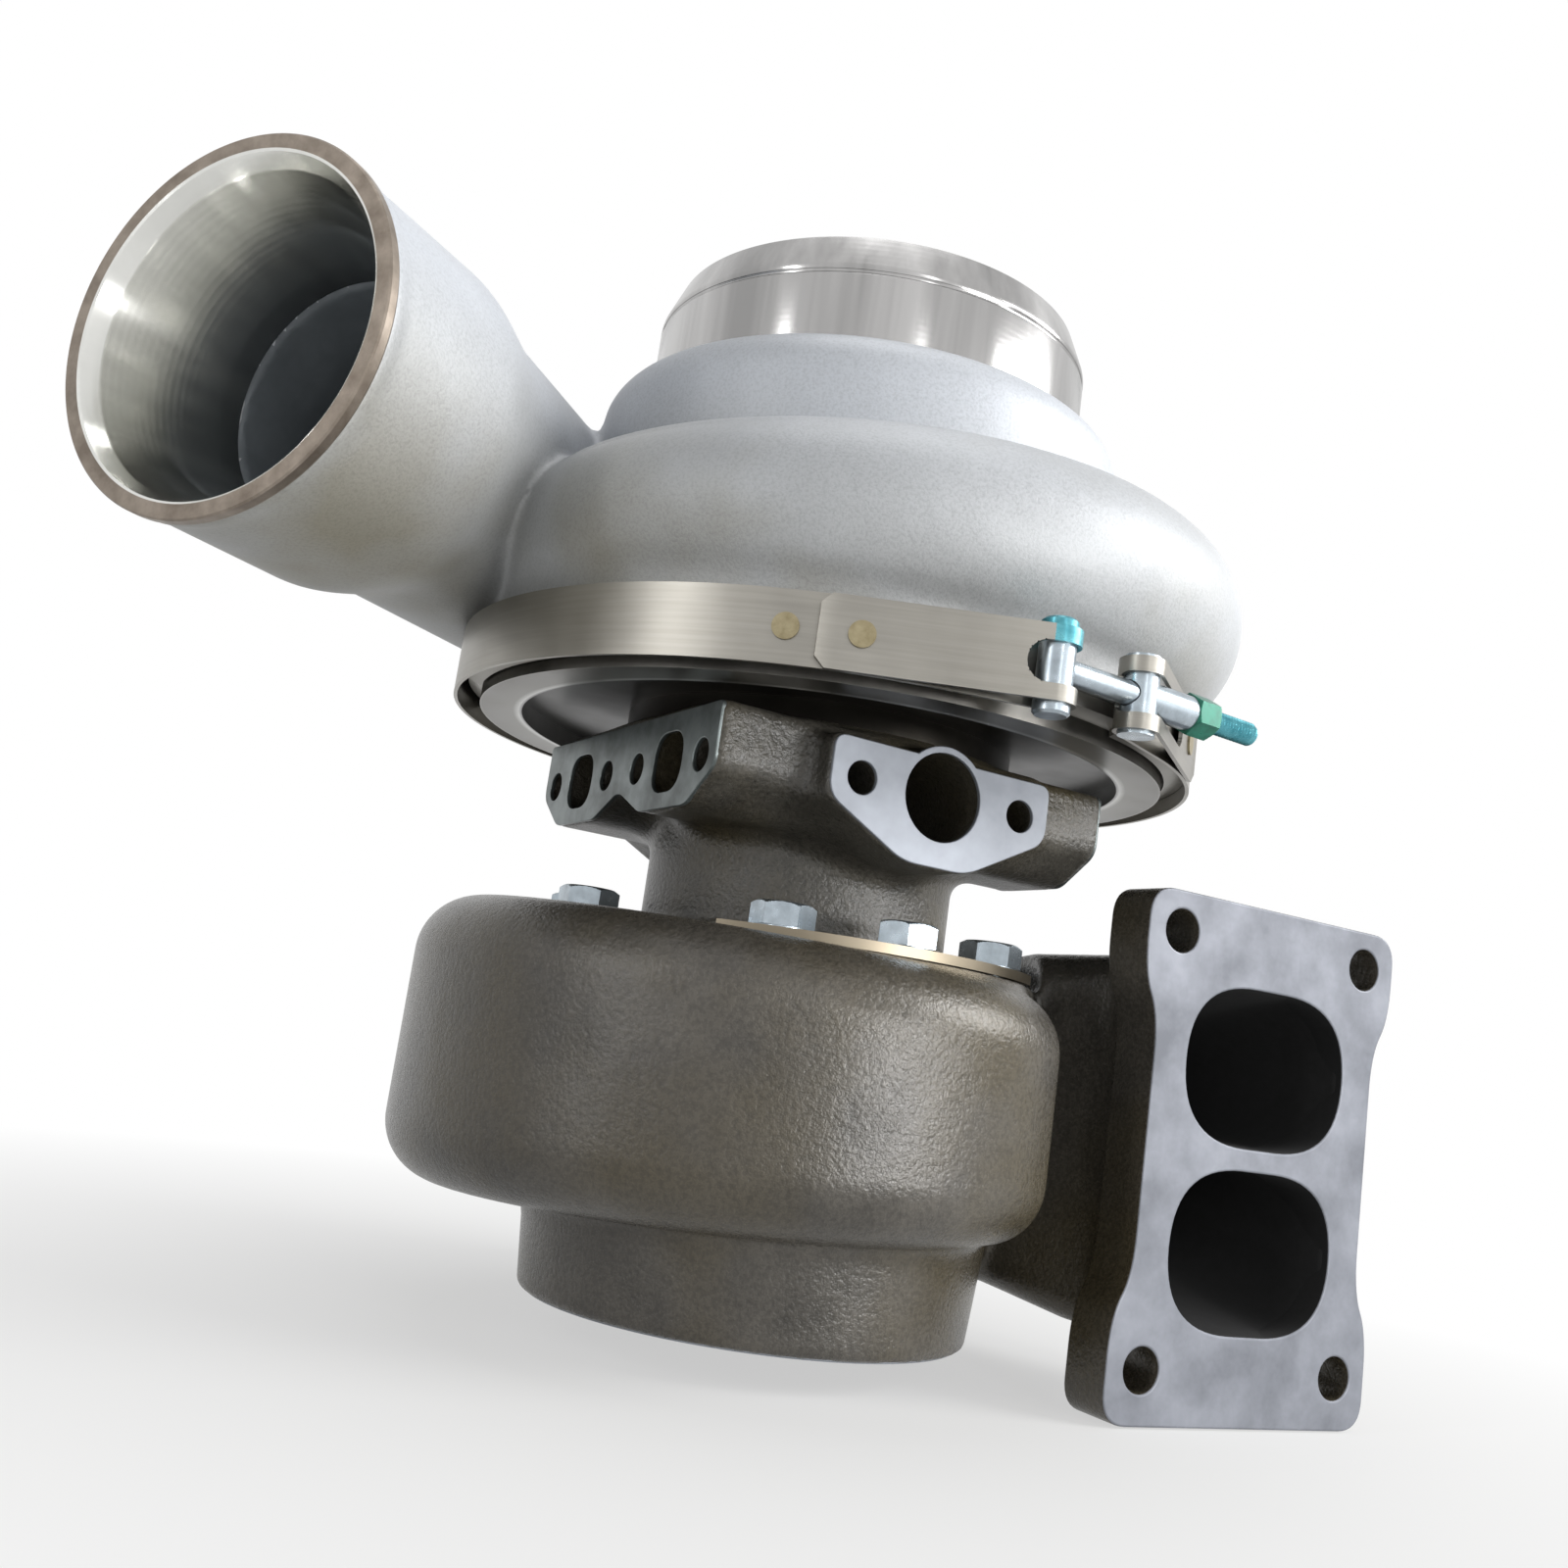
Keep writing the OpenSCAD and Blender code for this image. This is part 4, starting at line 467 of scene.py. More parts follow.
def cover_field(x, y, z):
    """Compressor cover: a scroll of growing round section, the throat and collar on its tangent, the inlet
    boss and the band's neck, blended by fillets; the bores and the first part of the air passage are cut."""
    s = bpy.context.scene.turbo_castings
    r = np.hypot(x, y)
    turn = (EXIT_AZ - np.degrees(np.arctan2(y, x))) % 360
    back = np.where(turn > COVER_SPLIT, 0, np.minimum(turn, COVER_END))
    slip = np.radians((back - turn + 180) % 360 - 180)
    p = 1 - back / COVER_TURN
    size, reach = mix(*COVER_SECTION, np.maximum(p, 0) ** 1.3), mix(*COVER_CENTRE, p)
    u, v = r * np.cos(slip), np.abs(r * np.sin(slip))
    rise = np.degrees(np.arctan2(z - COVER_FLOOR_Z - size, u - reach))
    ledge = s.parting_ledge * 1000 * ease(np.clip((rise - 52) / 5, 0, 1)) * np.clip(1 - p / 0.4, 0, 1)
    section = np.hypot(u - reach, z - COVER_FLOOR_Z - size) - size - ledge
    scroll = past_end(section, np.where(back == turn, 0, v))
    along, across = x * EXIT_T[0] + y * EXIT_T[1], x * EXIT_R[0] + y * EXIT_R[1]
    off, mid = throat_axis(along)
    swell = lambda start, run: ease(np.clip((along - start) / run, 0, 1))
    girth = mix(COVER_SECTION[1], THROAT_R, np.clip(along / 106, 0, 1))
    girth = girth + COLLAR_STEP * swell(103, 33) + RIM_STEP * swell(183, 6)
    axle = np.hypot(across - off, z - mid)
    throat = past_end(axle - girth, -along)
    throat = smooth_max(throat, along - MOUTH_REACH + 1.6, 2.4)
    boss = box2(r, z - 240, 91, BOSS_TOP_Z - 240, 14)
    neck = np.maximum(r - 116.1, np.maximum(JOINT_Z + 0.2 - z, z - 219))
    flange = np.maximum(r - 121, np.maximum(JOINT_Z + 0.2 - z, z - 199.4))
    d = smooth_min(scroll, throat, s.throat_fillet * 1000)
    d = smooth_min(d, boss, s.boss_fillet * 1000)
    d = np.minimum(smooth_min(d, neck, 4.0), flange)
    bore = r - table(z, COVER_BORE)
    tunnel = past_end(axle - table(along, OUTLET_BORE), -along)
    inner = mix(9, PASSAGE_R, p)
    arm = np.hypot(r - reach, z - COVER_FLOOR_Z - mix(3, 6, p) - inner) - inner
    arm = np.where(turn > 200, 50.0, np.maximum(arm, (turn - 100) * 1.8))
    return smooth_max(d, -np.minimum(np.minimum(tunnel, arm), bore), 0.8)


def in_passage(c):
    """True for points on the wall of the air passage: nearer than 42 mm to the throat's axis, and between
    the scroll and the mouth's bored cone."""
    along = c @ EXIT_T
    off, mid = throat_axis(along)
    axle = np.hypot(c @ EXIT_R - off, c[:, 2] - mid)
    return (axle < 42) & (along > -5) & (along < 143)


def scroll_reach(a):
    """Outer radius of the turbine scroll at azimuth a, winding down and then easing into the core."""
    wind = lambda a: mix(SCROLL_START_R, SCROLL_FULL_R, a / 360)
    fade = (a - SCROLL_FADE_AZ) / (SCROLL_END_AZ - SCROLL_FADE_AZ)
    tail = mix(wind(SCROLL_FADE_AZ), SCROLL_FADE_R, ease(np.clip(fade, 0, 1)))
    return np.where(a <= SCROLL_FADE_AZ, wind(a), tail)


def gas_field(x, y, z):
    """The two gas passages: rounded rectangles that change from the flange's ports to the scroll's halves."""
    r, a = np.hypot(x, y), np.degrees(np.arctan2(y, x))
    duct = y < 0
    e = ease(np.clip(1 - y / (INLET_FACE - 1), 0, 1))
    low = mix(INLET_X - PORT_HALF_U, 65.6, e)
    high = np.where(duct, mix(INLET_X + PORT_HALF_U, 142, e), scroll_reach(np.maximum(a, 0)) - 7)
    u = np.where(duct, x, r)
    both = []
    for port, level, half in ((PORT_Z[0], 92.5, 14.5), (PORT_Z[1], 55.5, 15.4)):
        both.append(box2(u - (low + high) / 2, z - mix(port, level, e), (high - low) / 2,
                         mix(PORT_HALF_V, half, e), mix(20, 10, e)))
    d = np.minimum(*both)
    return np.where((x < 0) | (a > 75), np.maximum(d, 8.0), np.maximum(d, (a - 70) * 2))


def turbine_field(x, y, z):
    """Turbine housing: outlet pipe and core turned about Z, the scroll as a rounded rectangle that shrinks
    round the turn, the inlet duct that eases into it, and the flange's root, blended by fillets."""
    s = bpy.context.scene.turbo_castings
    r, a = np.hypot(x, y), np.degrees(np.arctan2(y, x)) % 360
    run = np.where(a > SCROLL_SPLIT_AZ, 0, np.minimum(a, SCROLL_END_AZ))
    slip = np.radians((run - a + 180) % 360 - 180)
    out = scroll_reach(run)
    half = mix(*SCROLL_HEIGHT, np.minimum(run / SCROLL_FADE_AZ, 1)) / 2
    u, v = r * np.cos(slip), np.abs(r * np.sin(slip))
    scroll = box2(u - (out + SCROLL_INNER_R) / 2, z - TURB_MID_Z, (out - SCROLL_INNER_R) / 2, half,
                  np.clip(out - 63, 4, 20))
    scroll = past_end(scroll, np.where(run == a, 0, v))
    e = ease(np.clip(1 + y / DUCT_RUN, 0, 1))
    x0, x1, z0, z1 = (mix(start, end, e) for start, end in zip(DUCT_AT_FLANGE, DUCT_AT_SCROLL))
    duct = box2(x - (x0 + x1) / 2, z - (z0 + z1) / 2, (x1 - x0) / 2, (z1 - z0) / 2, mix(9, 20, e))
    duct = past_end(past_end(duct, y), -DUCT_RUN - y)
    core = (r - table(z, TURBINE_CORE)) * 0.97
    core = smooth_max(smooth_max(core, 0.3 - z, 2.5), z - TURB_TOP_Z, 1.0)
    flare = np.clip((np.abs(z - INLET_MID_Z) - WAIST_V) / WAIST_RUN, 0, 1)
    waist = mix(FLANGE_WAIST, FLANGE_HALF, flare) - 1
    root = box2(x - INLET_X, z - 70.8, waist, 80.2, 10)
    root = smooth_max(root, np.maximum(INLET_FACE + 1.5 - y, y - INLET_FACE - FLANGE_T + 0.6), 1.5)
    d = smooth_min(np.minimum(scroll, duct), core, s.turbine_fillet * 1000)
    d = smooth_min(d, root, s.flange_fillet * 1000)
    d = smooth_max(d, -np.maximum(r - 85, TURB_TOP_Z - z), 2.5)
    for bx, bz in FLANGE_BOLTS:
        d = np.maximum(d, 7.4 - np.hypot(x - INLET_X - bx, z - INLET_MID_Z - bz))
    bore = r - table(z, TURBINE_BORE)
    return smooth_max(d, -np.minimum(bore, gas_field(x, y, z)), 0.8)


def housing_field(x, y, z):
    """Centre housing: the round neck with its flared head, the port block drawn along X and the oil pads
    along Y, blended by fillets, with bores, slots and threaded holes cut."""
    k = bpy.context.scene.turbo_castings.housing_fillet * 1000
    r = np.hypot(x, y)
    neck = np.maximum((r - table(z, HOUSING_NECK)) * 0.85, np.maximum(108 - z, z - 183))
    half = [(18.25, 150.0), (51.75, 150.0), (68.0, 161.0), (68.0, 181.0), (-48.9, 181.0)]
    ridge = smooth_min(convex2(y, z, half, 4.0), convex2(-y, z, half, 4.0), 3.0)
    block = smooth_max(ridge, np.abs(x) - 70.6, 2.0)
    outline = [(-11.5, 143.0), (11.5, 143.0), (40.0, 158.0), (40.0, 177.0), (-40.0, 177.0), (-40.0, 158.0)]
    pad = smooth_max(convex2(x, z, outline, 3.5), np.abs(y) - 79.6, 2.0)
    eye = smooth_max(np.hypot(x, z - BLOCK_Z) - 15.4, np.maximum(-77.5 - y, y + 50), 1.5)
    d = smooth_min(smooth_min(smooth_min(neck, block, k), pad, k), eye, 1.5)
    foot = np.minimum(cylinder(x, y, z, 65.8, 108, TURB_TOP_Z), cylinder(x, y, z, 33.8, 99, 109))
    d = np.minimum(d, foot)
    cuts = [r - table(z, HOUSING_BORE),
            cylinder(x, z - BLOCK_Z, y, 13.9, -90, -36),
            cylinder(x, z - OIL_INLET_Z, y, 6.4, 18, 90),
            cylinder(np.abs(x) - DRAIN_HOLE_X, z - BLOCK_Z, y, 5.4, -90, -60),
            cylinder(np.abs(x) - FEED_HOLE_X, z - OIL_INLET_Z, y, 4.4, 60, 90)]
    cuts += [cylinder(y - hole, z - BLOCK_Z, x, 5.4, -90, -49) for hole in COOLANT_HOLES_Y]
    cuts += [np.maximum(box2(y - port, z - BLOCK_Z, 10.5, 9.6, 6.2), np.maximum(x + 49, -x - 90))
             for port in COOLANT_PORTS_Y]
    for c in cuts:
        d = np.maximum(d, -c)
    return d


# Wheels

def blades(hub, shroud, turn, thickness, count, offset=0.0, spans=9):
    """Blades between a hub curve and a shroud curve: at each station the blade crosses straight from hub
    to shroud, turned by the station's angle, and is thick at the root, thin at the tip and at its edges."""
    n = len(turn)
    span = np.linspace(-0.08, 1, spans)[None, :]
    r = mix(hub[:, :1], shroud[:, :1], span)
    z = mix(hub[:, 1:], shroud[:, 1:], span)
    m = np.linspace(0, 1, n)[:, None]
    edge = 0.4 + 0.6 * np.minimum(1, np.minimum(m, 1 - m) / 0.06)
    half = mix(thickness[0], thickness[1], np.clip(span, 0, 1)) / 2 * edge
    rims = []
    for side in (-1, 1):
        a = np.radians(turn)[:, None] + side * half / r
        rims.append(np.stack([r * np.cos(a), r * np.sin(a), z], axis=-1))
    points = np.concatenate([rims[0], rims[1][:, ::-1]], axis=1).reshape(-1, 3)
    loop = 2 * spans
    j = np.arange(spans - 1)
    cap = np.stack([j, j + 1, loop - 2 - j, loop - 1 - j], axis=1)
    faces = np.vstack([grid_faces(n, loop), cap, cap[:, ::-1] + (n - 1) * loop])
    return turned_copies((points, faces), offset + np.arange(count) * 360 / count)


def quarter(a, b, m, rising):
    """Quarter ellipse between a and b as m goes from 0 to 1: a rising one starts at a along the axis, as a
    compressor's hub or shroud does, and the other runs from b's radius at a's height, as a turbine's does."""
    q = np.radians(90 * m)
    across, down = (1 - np.cos(q), np.sin(q)) if rising else (1 - np.sin(q), 1 - np.cos(q))
    return np.column_stack([mix(a[0], b[0], across), mix(a[1], b[1], down)])


# Finishes

def outlet(source):
    """The first output of a node, or an output itself."""
    return getattr(source, "outputs", [source])[0]


def add(tree, kind, settings=None, links=None):
    """One shader node: settings go to its inputs or properties by name, stops to its ramp, and links join
    its inputs to other nodes' outputs, or to the first output of a node."""
    n = tree.nodes.new("ShaderNode" + kind)
    for key, value in (settings or {}).items():
        if key == "stops":
            ramp = n.color_ramp.elements
            while len(ramp) < len(value):
                ramp.new(0.5)
            for element, (at, shade) in zip(ramp, value):
                element.position, element.color = at, (*shade, 1)
        elif isinstance(key, int) or key in n.inputs:
            n.inputs[key].default_value = value
        else:
            setattr(n, key, value)
    for key, source in (links or {}).items():
        tree.links.new(outlet(source), n.inputs[key])
    return n


def blank(name, metallic, roughness):
    """A new material with its nodes and object coordinates."""
    m = bpy.data.materials.new(name)
    m.use_nodes = True
    tree = m.node_tree
    shader = tree.nodes["Principled BSDF"]
    shader.inputs["Metallic"].default_value = metallic
    shader.inputs["Roughness"].default_value = roughness
    return m, tree, add(tree, "TexCoord").outputs["Object"]


def wired(m, hue, gloss, bump=None):
    """The material with its colour, roughness and relief joined to its shader."""
    tree = m.node_tree
    for key, source in (("Base Color", hue), ("Roughness", gloss), ("Normal", bump)):
        if source is not None:
            tree.links.new(outlet(source), tree.nodes["Principled BSDF"].inputs[key])
    return m


def shade(c, k):
    """A colour k times as bright."""
    return tuple(min(1.0, v * k) for v in c)


def sand_cast(name, light, dark, metallic, rough, grain_mm, depth_mm, patch_mm, stain=None, pit=0.3,
              levels=None):
    """Sand-cast metal: a grain of the mould's sand, slow patches of tone, darker pits and a skin that rolls
    a little. It gives a soft, speckled sheen. The grain is drawn at grain_mm, coarser than real sand of about
    0.3 mm, so that it shows. A tint lies in larger patches of oil staining; where two levels are given it is
    kept to the lower part, fading out upwards between them, and there it is also painted reflection of a warm
    floor."""
    m, tree, at = blank(name, metallic, rough)
    patch = add(tree, "TexNoise", {"Scale": 1000 / patch_mm, "Detail": 4.0, "Roughness": 0.6}, {"Vector": at})
    base = add(tree, "ValToRGB", {"stops": [(0.3, dark), (0.68, light)]}, {"Fac": patch})
    if stain:
        spread = add(tree, "TexNoise", {"Scale": 1000 / (patch_mm * 2.2), "Detail": 3.0}, {"Vector": at})
        where = add(tree, "ValToRGB", {"stops": [(0.46, (0, 0, 0)), (0.66, (1, 1, 1))]}, {"Fac": spread})
        # painted reflection of a warm floor: on the lower part the tint gets a share of at least 0.4, fading
        # out upwards between the two levels
        if levels:
            height = add(tree, "SeparateXYZ", None, {"Vector": at})
            low = add(tree, "MapRange", {"From Min": levels[1], "From Max": levels[0]},
                      {"Value": height.outputs["Z"]})
            stain_and_reflection_share = add(tree, "Math", {"operation": "MULTIPLY_ADD", 1: 0.6, 2: 0.4}, {0: where})
            where = add(tree, "Math", {"operation": "MULTIPLY"}, {0: stain_and_reflection_share, 1: low})
        base = add(tree, "Mix", {"data_type": "RGBA", 7: (*stain, 1)}, {0: where, 6: base}).outputs[2]
    grain = add(tree, "TexNoise", {"Scale": 1000 / grain_mm, "Detail": 3.0, "Roughness": 0.65},
                {"Vector": at})
    pits = add(tree, "ValToRGB", {"stops": [(0.34, (1 - pit,) * 3), (0.56, (1, 1, 1))]}, {"Fac": grain})
    speck = add(tree, "Mix", {"data_type": "RGBA", "blend_type": "MULTIPLY", 0: 1.0}, {6: base, 7: pits})
    gloss = add(tree, "MapRange", {"To Min": rough - 0.12, "To Max": rough + 0.12}, {"Value": grain})
    roll = add(tree, "Bump", {"Strength": 0.5, "Distance": 0.0012}, {"Height": patch})
    bump = add(tree, "Bump", {"Strength": 1.0, "Distance": depth_mm / 1000},
               {"Height": grain, "Normal": roll})
    return wired(m, speck.outputs[2], gloss, bump)


def lathe_turned(name, tone, rough, pitch_mm, along=(0, 0, 1), origin=(0, 0, 0), wear_and_reflection=0.12, streak_mm=10):
    """Metal turned on a lathe: faint rings round the axis, darker streaks drawn out along it, and a sheen
    that the rings draw out across themselves. The rings are drawn at pitch_mm, coarser than a real feed of
    about
    0.1 mm, so that they show. The streaks stand for handling; where they darken it strongly, as on the pipe,
    they are also painted reflections of the surroundings in bands along the axis. The last two arguments give
    how much they darken it and how broad they are."""
    m, tree, at = blank(name, 1.0, rough)
    turn = tuple(Vector(along).to_track_quat("Z", "Y").to_euler())
    axis = add(tree, "Mapping", {"vector_type": "TEXTURE", "Location": origin, "Rotation": turn},
               {"Vector": at})
    # A wave of scale 1 has a band every 2 pi / 20 m, so a scale of 314 gives one every millimetre
    rings = add(tree, "TexWave", {"wave_type": "BANDS", "bands_direction": "Z", "Scale": 314.0 / pitch_mm,
                                  "Distortion": 0.6, "Detail": 1.0, "Detail Scale": 0.2}, {"Vector": axis})
    # streaks along the axis: handling, and where strong, as on the pipe, painted reflection bands
    streak_frame = add(tree, "Mapping", {"Scale": (1000 / streak_mm, 1000 / streak_mm, 50 / streak_mm)}, {"Vector": axis})
    wipe_and_reflection_streaks = add(tree, "TexNoise", {"Scale": 1.0, "Detail": 4.0, "Roughness": 0.62}, {"Vector": streak_frame})
    gloss = add(tree, "MapRange", {"To Min": rough - 0.06, "To Max": rough + 0.08}, {"Value": wipe_and_reflection_streaks})
    hue = add(tree, "ValToRGB", {"stops": [(0.34, shade(tone, 1 - wear_and_reflection)), (0.66, tone)]}, {"Fac": wipe_and_reflection_streaks})
    bump = add(tree, "Bump", {"Strength": 0.05, "Distance": 0.0001}, {"Height": rings.outputs["Fac"]})
    apart = add(tree, "Mapping", {"Location": tuple(-v for v in origin)}, {"Vector": at})
    around = add(tree, "VectorMath", {"operation": "CROSS_PRODUCT", 0: along}, {1: apart})
    across = add(tree, "VectorMath", {"operation": "CROSS_PRODUCT"},
                 {0: around, 1: add(tree, "NewGeometry").outputs["Normal"]})
    shader = tree.nodes["Principled BSDF"]
    shader.inputs["Anisotropic"].default_value = 0.75
    tree.links.new(across.outputs["Vector"], shader.inputs["Tangent"])
    return wired(m, hue, gloss, bump)


def brushed(name, tone, rough, stretch=(25, 25, 900)):
    """Sheet brushed along its length: hair lines, noise of so many cells a metre each way, in tone, gloss and
    relief. The strap's lines lie 1.1 mm apart, coarser than real ones of about 0.2 mm, so that they show."""
    m, tree, at = blank(name, 1.0, rough)
    line = add(tree, "Mapping", {"Scale": stretch}, {"Vector": at})
    hair = add(tree, "TexNoise", {"Scale": 1.0, "Detail": 3.0}, {"Vector": line})
    smear = add(tree, "TexNoise", {"Scale": 1000 / 25, "Detail": 4.0}, {"Vector": at})
    both = add(tree, "Math", {"operation": "ADD"}, {0: hair, 1: smear})
    hue = add(tree, "ValToRGB", {"stops": [(0.36, shade(tone, 0.88)), (0.62, shade(tone, 1.04))]},
              {"Fac": add(tree, "Math", {"operation": "MULTIPLY", 1: 0.5}, {0: both})})
    gloss = add(tree, "MapRange", {"To Min": rough - 0.1, "To Max": rough + 0.14}, {"Value": smear})
    bump = add(tree, "Bump", {"Strength": 0.08, "Distance": 0.0001}, {"Height": hair})
    return wired(m, hue, gloss, bump)


def mottled(name, light, dark, metallic, rough, patch_mm, bump_mm=0.0):
    """Plated, ground or milled metal, rubber or coating: two close tones in small clouds, with gloss that
    follows them, as handling and the last tool leave it."""
    m, tree, at = blank(name, metallic, rough)
    cloud = add(tree, "TexNoise", {"Scale": 1000 / patch_mm, "Detail": 5.0, "Roughness": 0.62},
                {"Vector": at})
    hue = add(tree, "ValToRGB", {"stops": [(0.33, dark), (0.66, light)]}, {"Fac": cloud})
    gloss = add(tree, "MapRange", {"To Min": rough + 0.1, "To Max": rough - 0.08}, {"Value": cloud})
    bump = add(tree, "Bump", {"Strength": 0.3, "Distance": max(bump_mm, 0.01) / 1000}, {"Height": cloud})
    return wired(m, hue, gloss, bump)


def ringed_plate(name, zones, rough):
    """Turned plate whose rings differ in tone: a colour for each zone of radius, in millimetres, with a
    little cloud on it."""
    m, tree, at = blank(name, 0.9, rough)
    outer_mm = 125
    flat = add(tree, "Mapping", {"Scale": (1, 1, 0)}, {"Vector": at})
    radius = add(tree, "VectorMath", {"operation": "LENGTH"}, {0: flat})
    share = add(tree, "MapRange", {"From Max": outer_mm / 1000}, {"Value": radius.outputs["Value"]})
    tone = add(tree, "ValToRGB", {"stops": [(r / outer_mm, c) for r, c in zones]}, {"Fac": share})
    cloud = add(tree, "TexNoise", {"Scale": 1000 / 18, "Detail": 4.0}, {"Vector": at})
    haze = add(tree, "ValToRGB", {"stops": [(0.35, (0.72,) * 3), (0.62, (1, 1, 1))]}, {"Fac": cloud})
    both = add(tree, "Mix", {"data_type": "RGBA", "blend_type": "MULTIPLY", 0: 1.0}, {6: tone, 7: haze})
    gloss = add(tree, "MapRange", {"To Min": rough - 0.06, "To Max": rough + 0.1}, {"Value": cloud})
    return wired(m, both.outputs[2], gloss)


def make_finishes():
    """Every finish of the turbocharger, by a short name."""
    c = bpy.context.scene.turbo_colours
    rgb = {k: tuple(getattr(c, k)) for k in c.bl_rna.properties.keys() if k not in ("rna_type", "name")}
    return {
        # shot-blasted sand casting: pale, matt, fine grain; a warm tint in oily patches, kept to its lower
        # part as painted reflection of the floor
        "cover": sand_cast("sand_cast_aluminium", rgb["cover"], shade(rgb["cover"], 0.88), metallic=0.15,
                           rough=0.5, grain_mm=0.9, depth_mm=0.12, patch_mm=38, stain=linear("#8f8b7d"),
                           pit=0.16, levels=(0.205, 0.285)),
        # cast wall left unfinished and oily: dark, dull slate, darker than the cover also as painted shade of
        # the passage's depth
        "passage": mottled("oiled_cast_passage", linear("#747a80"), linear("#63696f"),
                           metallic=0.1, rough=0.5, patch_mm=26),
        # turned and polished: bright, drawn-out reflections
        # the pipe's strong dark streaks along its axis are painted reflection bands as well as handling
        "pipe": lathe_turned("turned_aluminium", rgb["turned"], rough=0.2, pitch_mm=2.2,
                             wear_and_reflection=0.4, streak_mm=24),
        "mouth": lathe_turned("bored_aluminium", linear("#dcdcd8"), rough=0.16, pitch_mm=2.4,
                              along=tuple(EXIT_T.tolist()), origin=tuple((MOUTH / 1000).tolist()), wear_and_reflection=0.06),
        # skimmed and handled rim: brownish, dull
        "rim": mottled("handled_aluminium_rim", linear("#8f857a"), linear("#6f655b"),
                       metallic=0.8, rough=0.42, patch_mm=9),
        # oily iron casting: brown-grey, coarse grain with a wet sheen
        "turbine": sand_cast("oiled_cast_iron", rgb["turbine"], shade(rgb["turbine"], 0.5), metallic=0.1,
                             rough=0.27, grain_mm=1.5, depth_mm=0.32, patch_mm=30, stain=linear("#4e4737")),
        "housing": sand_cast("dark_oiled_cast_iron", rgb["housing"], shade(rgb["housing"], 0.5), metallic=0.0,
                             rough=0.32, grain_mm=1.5, depth_mm=0.45, patch_mm=24, stain=linear("#4d4738"),
                             pit=0.35),
        # soot in the gas passages: dead black
        "soot": mottled("soot", linear("#0b0b0c"), linear("#060606"),
                        metallic=0.0, rough=0.85, patch_mm=6, bump_mm=0.2),
        # milled iron: blue-grey with mottled oil marks
        "flange": mottled("milled_inlet_flange", linear("#82858d"), linear("#5d6067"),
                          metallic=0.3, rough=0.5, patch_mm=30),
        "milled": mottled("milled_cast_iron", rgb["milled"], shade(rgb["milled"], 0.68),
                          metallic=0.15, rough=0.46, patch_mm=34),
        # the same, left oily: darker and greener
        "oily": mottled("oily_milled_iron", linear("#7c8484"), linear("#4b5150"),
                        metallic=0.6, rough=0.34, patch_mm=16),
        # turned aluminium plate: its dark middle and dark rings are painted shade under the cover, its bright
        # rings near the edge painted highlights
        "face": ringed_plate("turned_back_plate", [
            (0, linear("#3a3732")), (67, linear("#3a3732")), (69, linear("#23211f")),
            (101.9, linear("#2b2926")), (103, linear("#c6c6c3")), (105, linear("#75736d")),
            (115.5, linear("#5c5953")), (117, linear("#bdbbb6"))], rough=0.3),
        # stainless sheet: warm grey, brushed along the strap; the V segments behind it are darker
        "band": brushed("brushed_stainless", rgb["band"], rough=0.34),
        "segment": brushed("drawn_stainless", shade(rgb["band"], 0.75), rough=0.36),
        # heat-tinted discs of the spot welds: dull straw
        "weld": mottled("spot_weld_steel", linear("#9d9377"), linear("#857a5e"),
                        metallic=0.85, rough=0.4, patch_mm=3),
        # zinc plating: pale blue, satin
        "zinc": mottled("zinc_plated_steel", rgb["zinc"], shade(rgb["zinc"], 0.66),
                        metallic=0.9, rough=0.28, patch_mm=5),
        # thick blue passivation on the bolt: teal, glossy
        "teal": mottled("blue_passivated_steel", linear("#68b0bb"), linear("#3b8592"),
                        metallic=0.6, rough=0.28, patch_mm=5),
        # yellow passivation on cut plate: warm grey-gold
        "brass": brushed("yellow_passivated_steel", rgb["brass"], rough=0.36, stretch=(60, 60, 60)),
        # friction coating of the lock nut: deep green, waxy
        "nut": mottled("green_coated_nut", rgb["nut"], shade(rgb["nut"], 0.55),
                       metallic=0.3, rough=0.3, patch_mm=4),
        # five-axis milled forging: bright, finely lined
        "wheel": lathe_turned("milled_wheel_aluminium", linear("#b9bcbf"), rough=0.28, pitch_mm=1.2),
        # investment casting, heat-browned: fine, dull grain
        "alloy": sand_cast("investment_cast_alloy", linear("#6f6761"), linear("#544d48"), metallic=0.9,
                           rough=0.42, grain_mm=0.7, depth_mm=0.05, patch_mm=20),
        # ground journals and faces: even and bright
        "ground": mottled("ground_steel", linear("#b4b7ba"), linear("#94979b"),
                          metallic=1.0, rough=0.2, patch_mm=10),
        # oil-blued steel: dark blue-grey, satin
        "spring": mottled("blued_spring_steel", linear("#5d6167"), linear("#43464b"),
                          metallic=0.95, rough=0.3, patch_mm=8),
        # pressed sheet: mid grey, drawn marks
        "sheet": brushed("pressed_sheet_steel", linear("#8c9095"), rough=0.38, stretch=(40, 40, 40)),
        # bearing metal: warm, smooth, softly tarnished
        "bronze": mottled("leaded_bronze", linear("#b58f52"), linear("#94733f"),
                          metallic=1.0, rough=0.3, patch_mm=9),
        # O-ring rubber: matt black
        "rubber": mottled("nitrile_rubber", linear("#1d1d1e"), linear("#141414"),
                          metallic=0.0, rough=0.6, patch_mm=4),
    }


FINISH = {}


# Pieces

def edge_mm():
    """Chamfer of the machined edges, in millimetres."""
    return bpy.context.scene.turbo_fittings.edge_break * 1000


def steps():
    """Number of steps round a turned face."""
    return bpy.context.scene.turbo_fittings.turn_steps


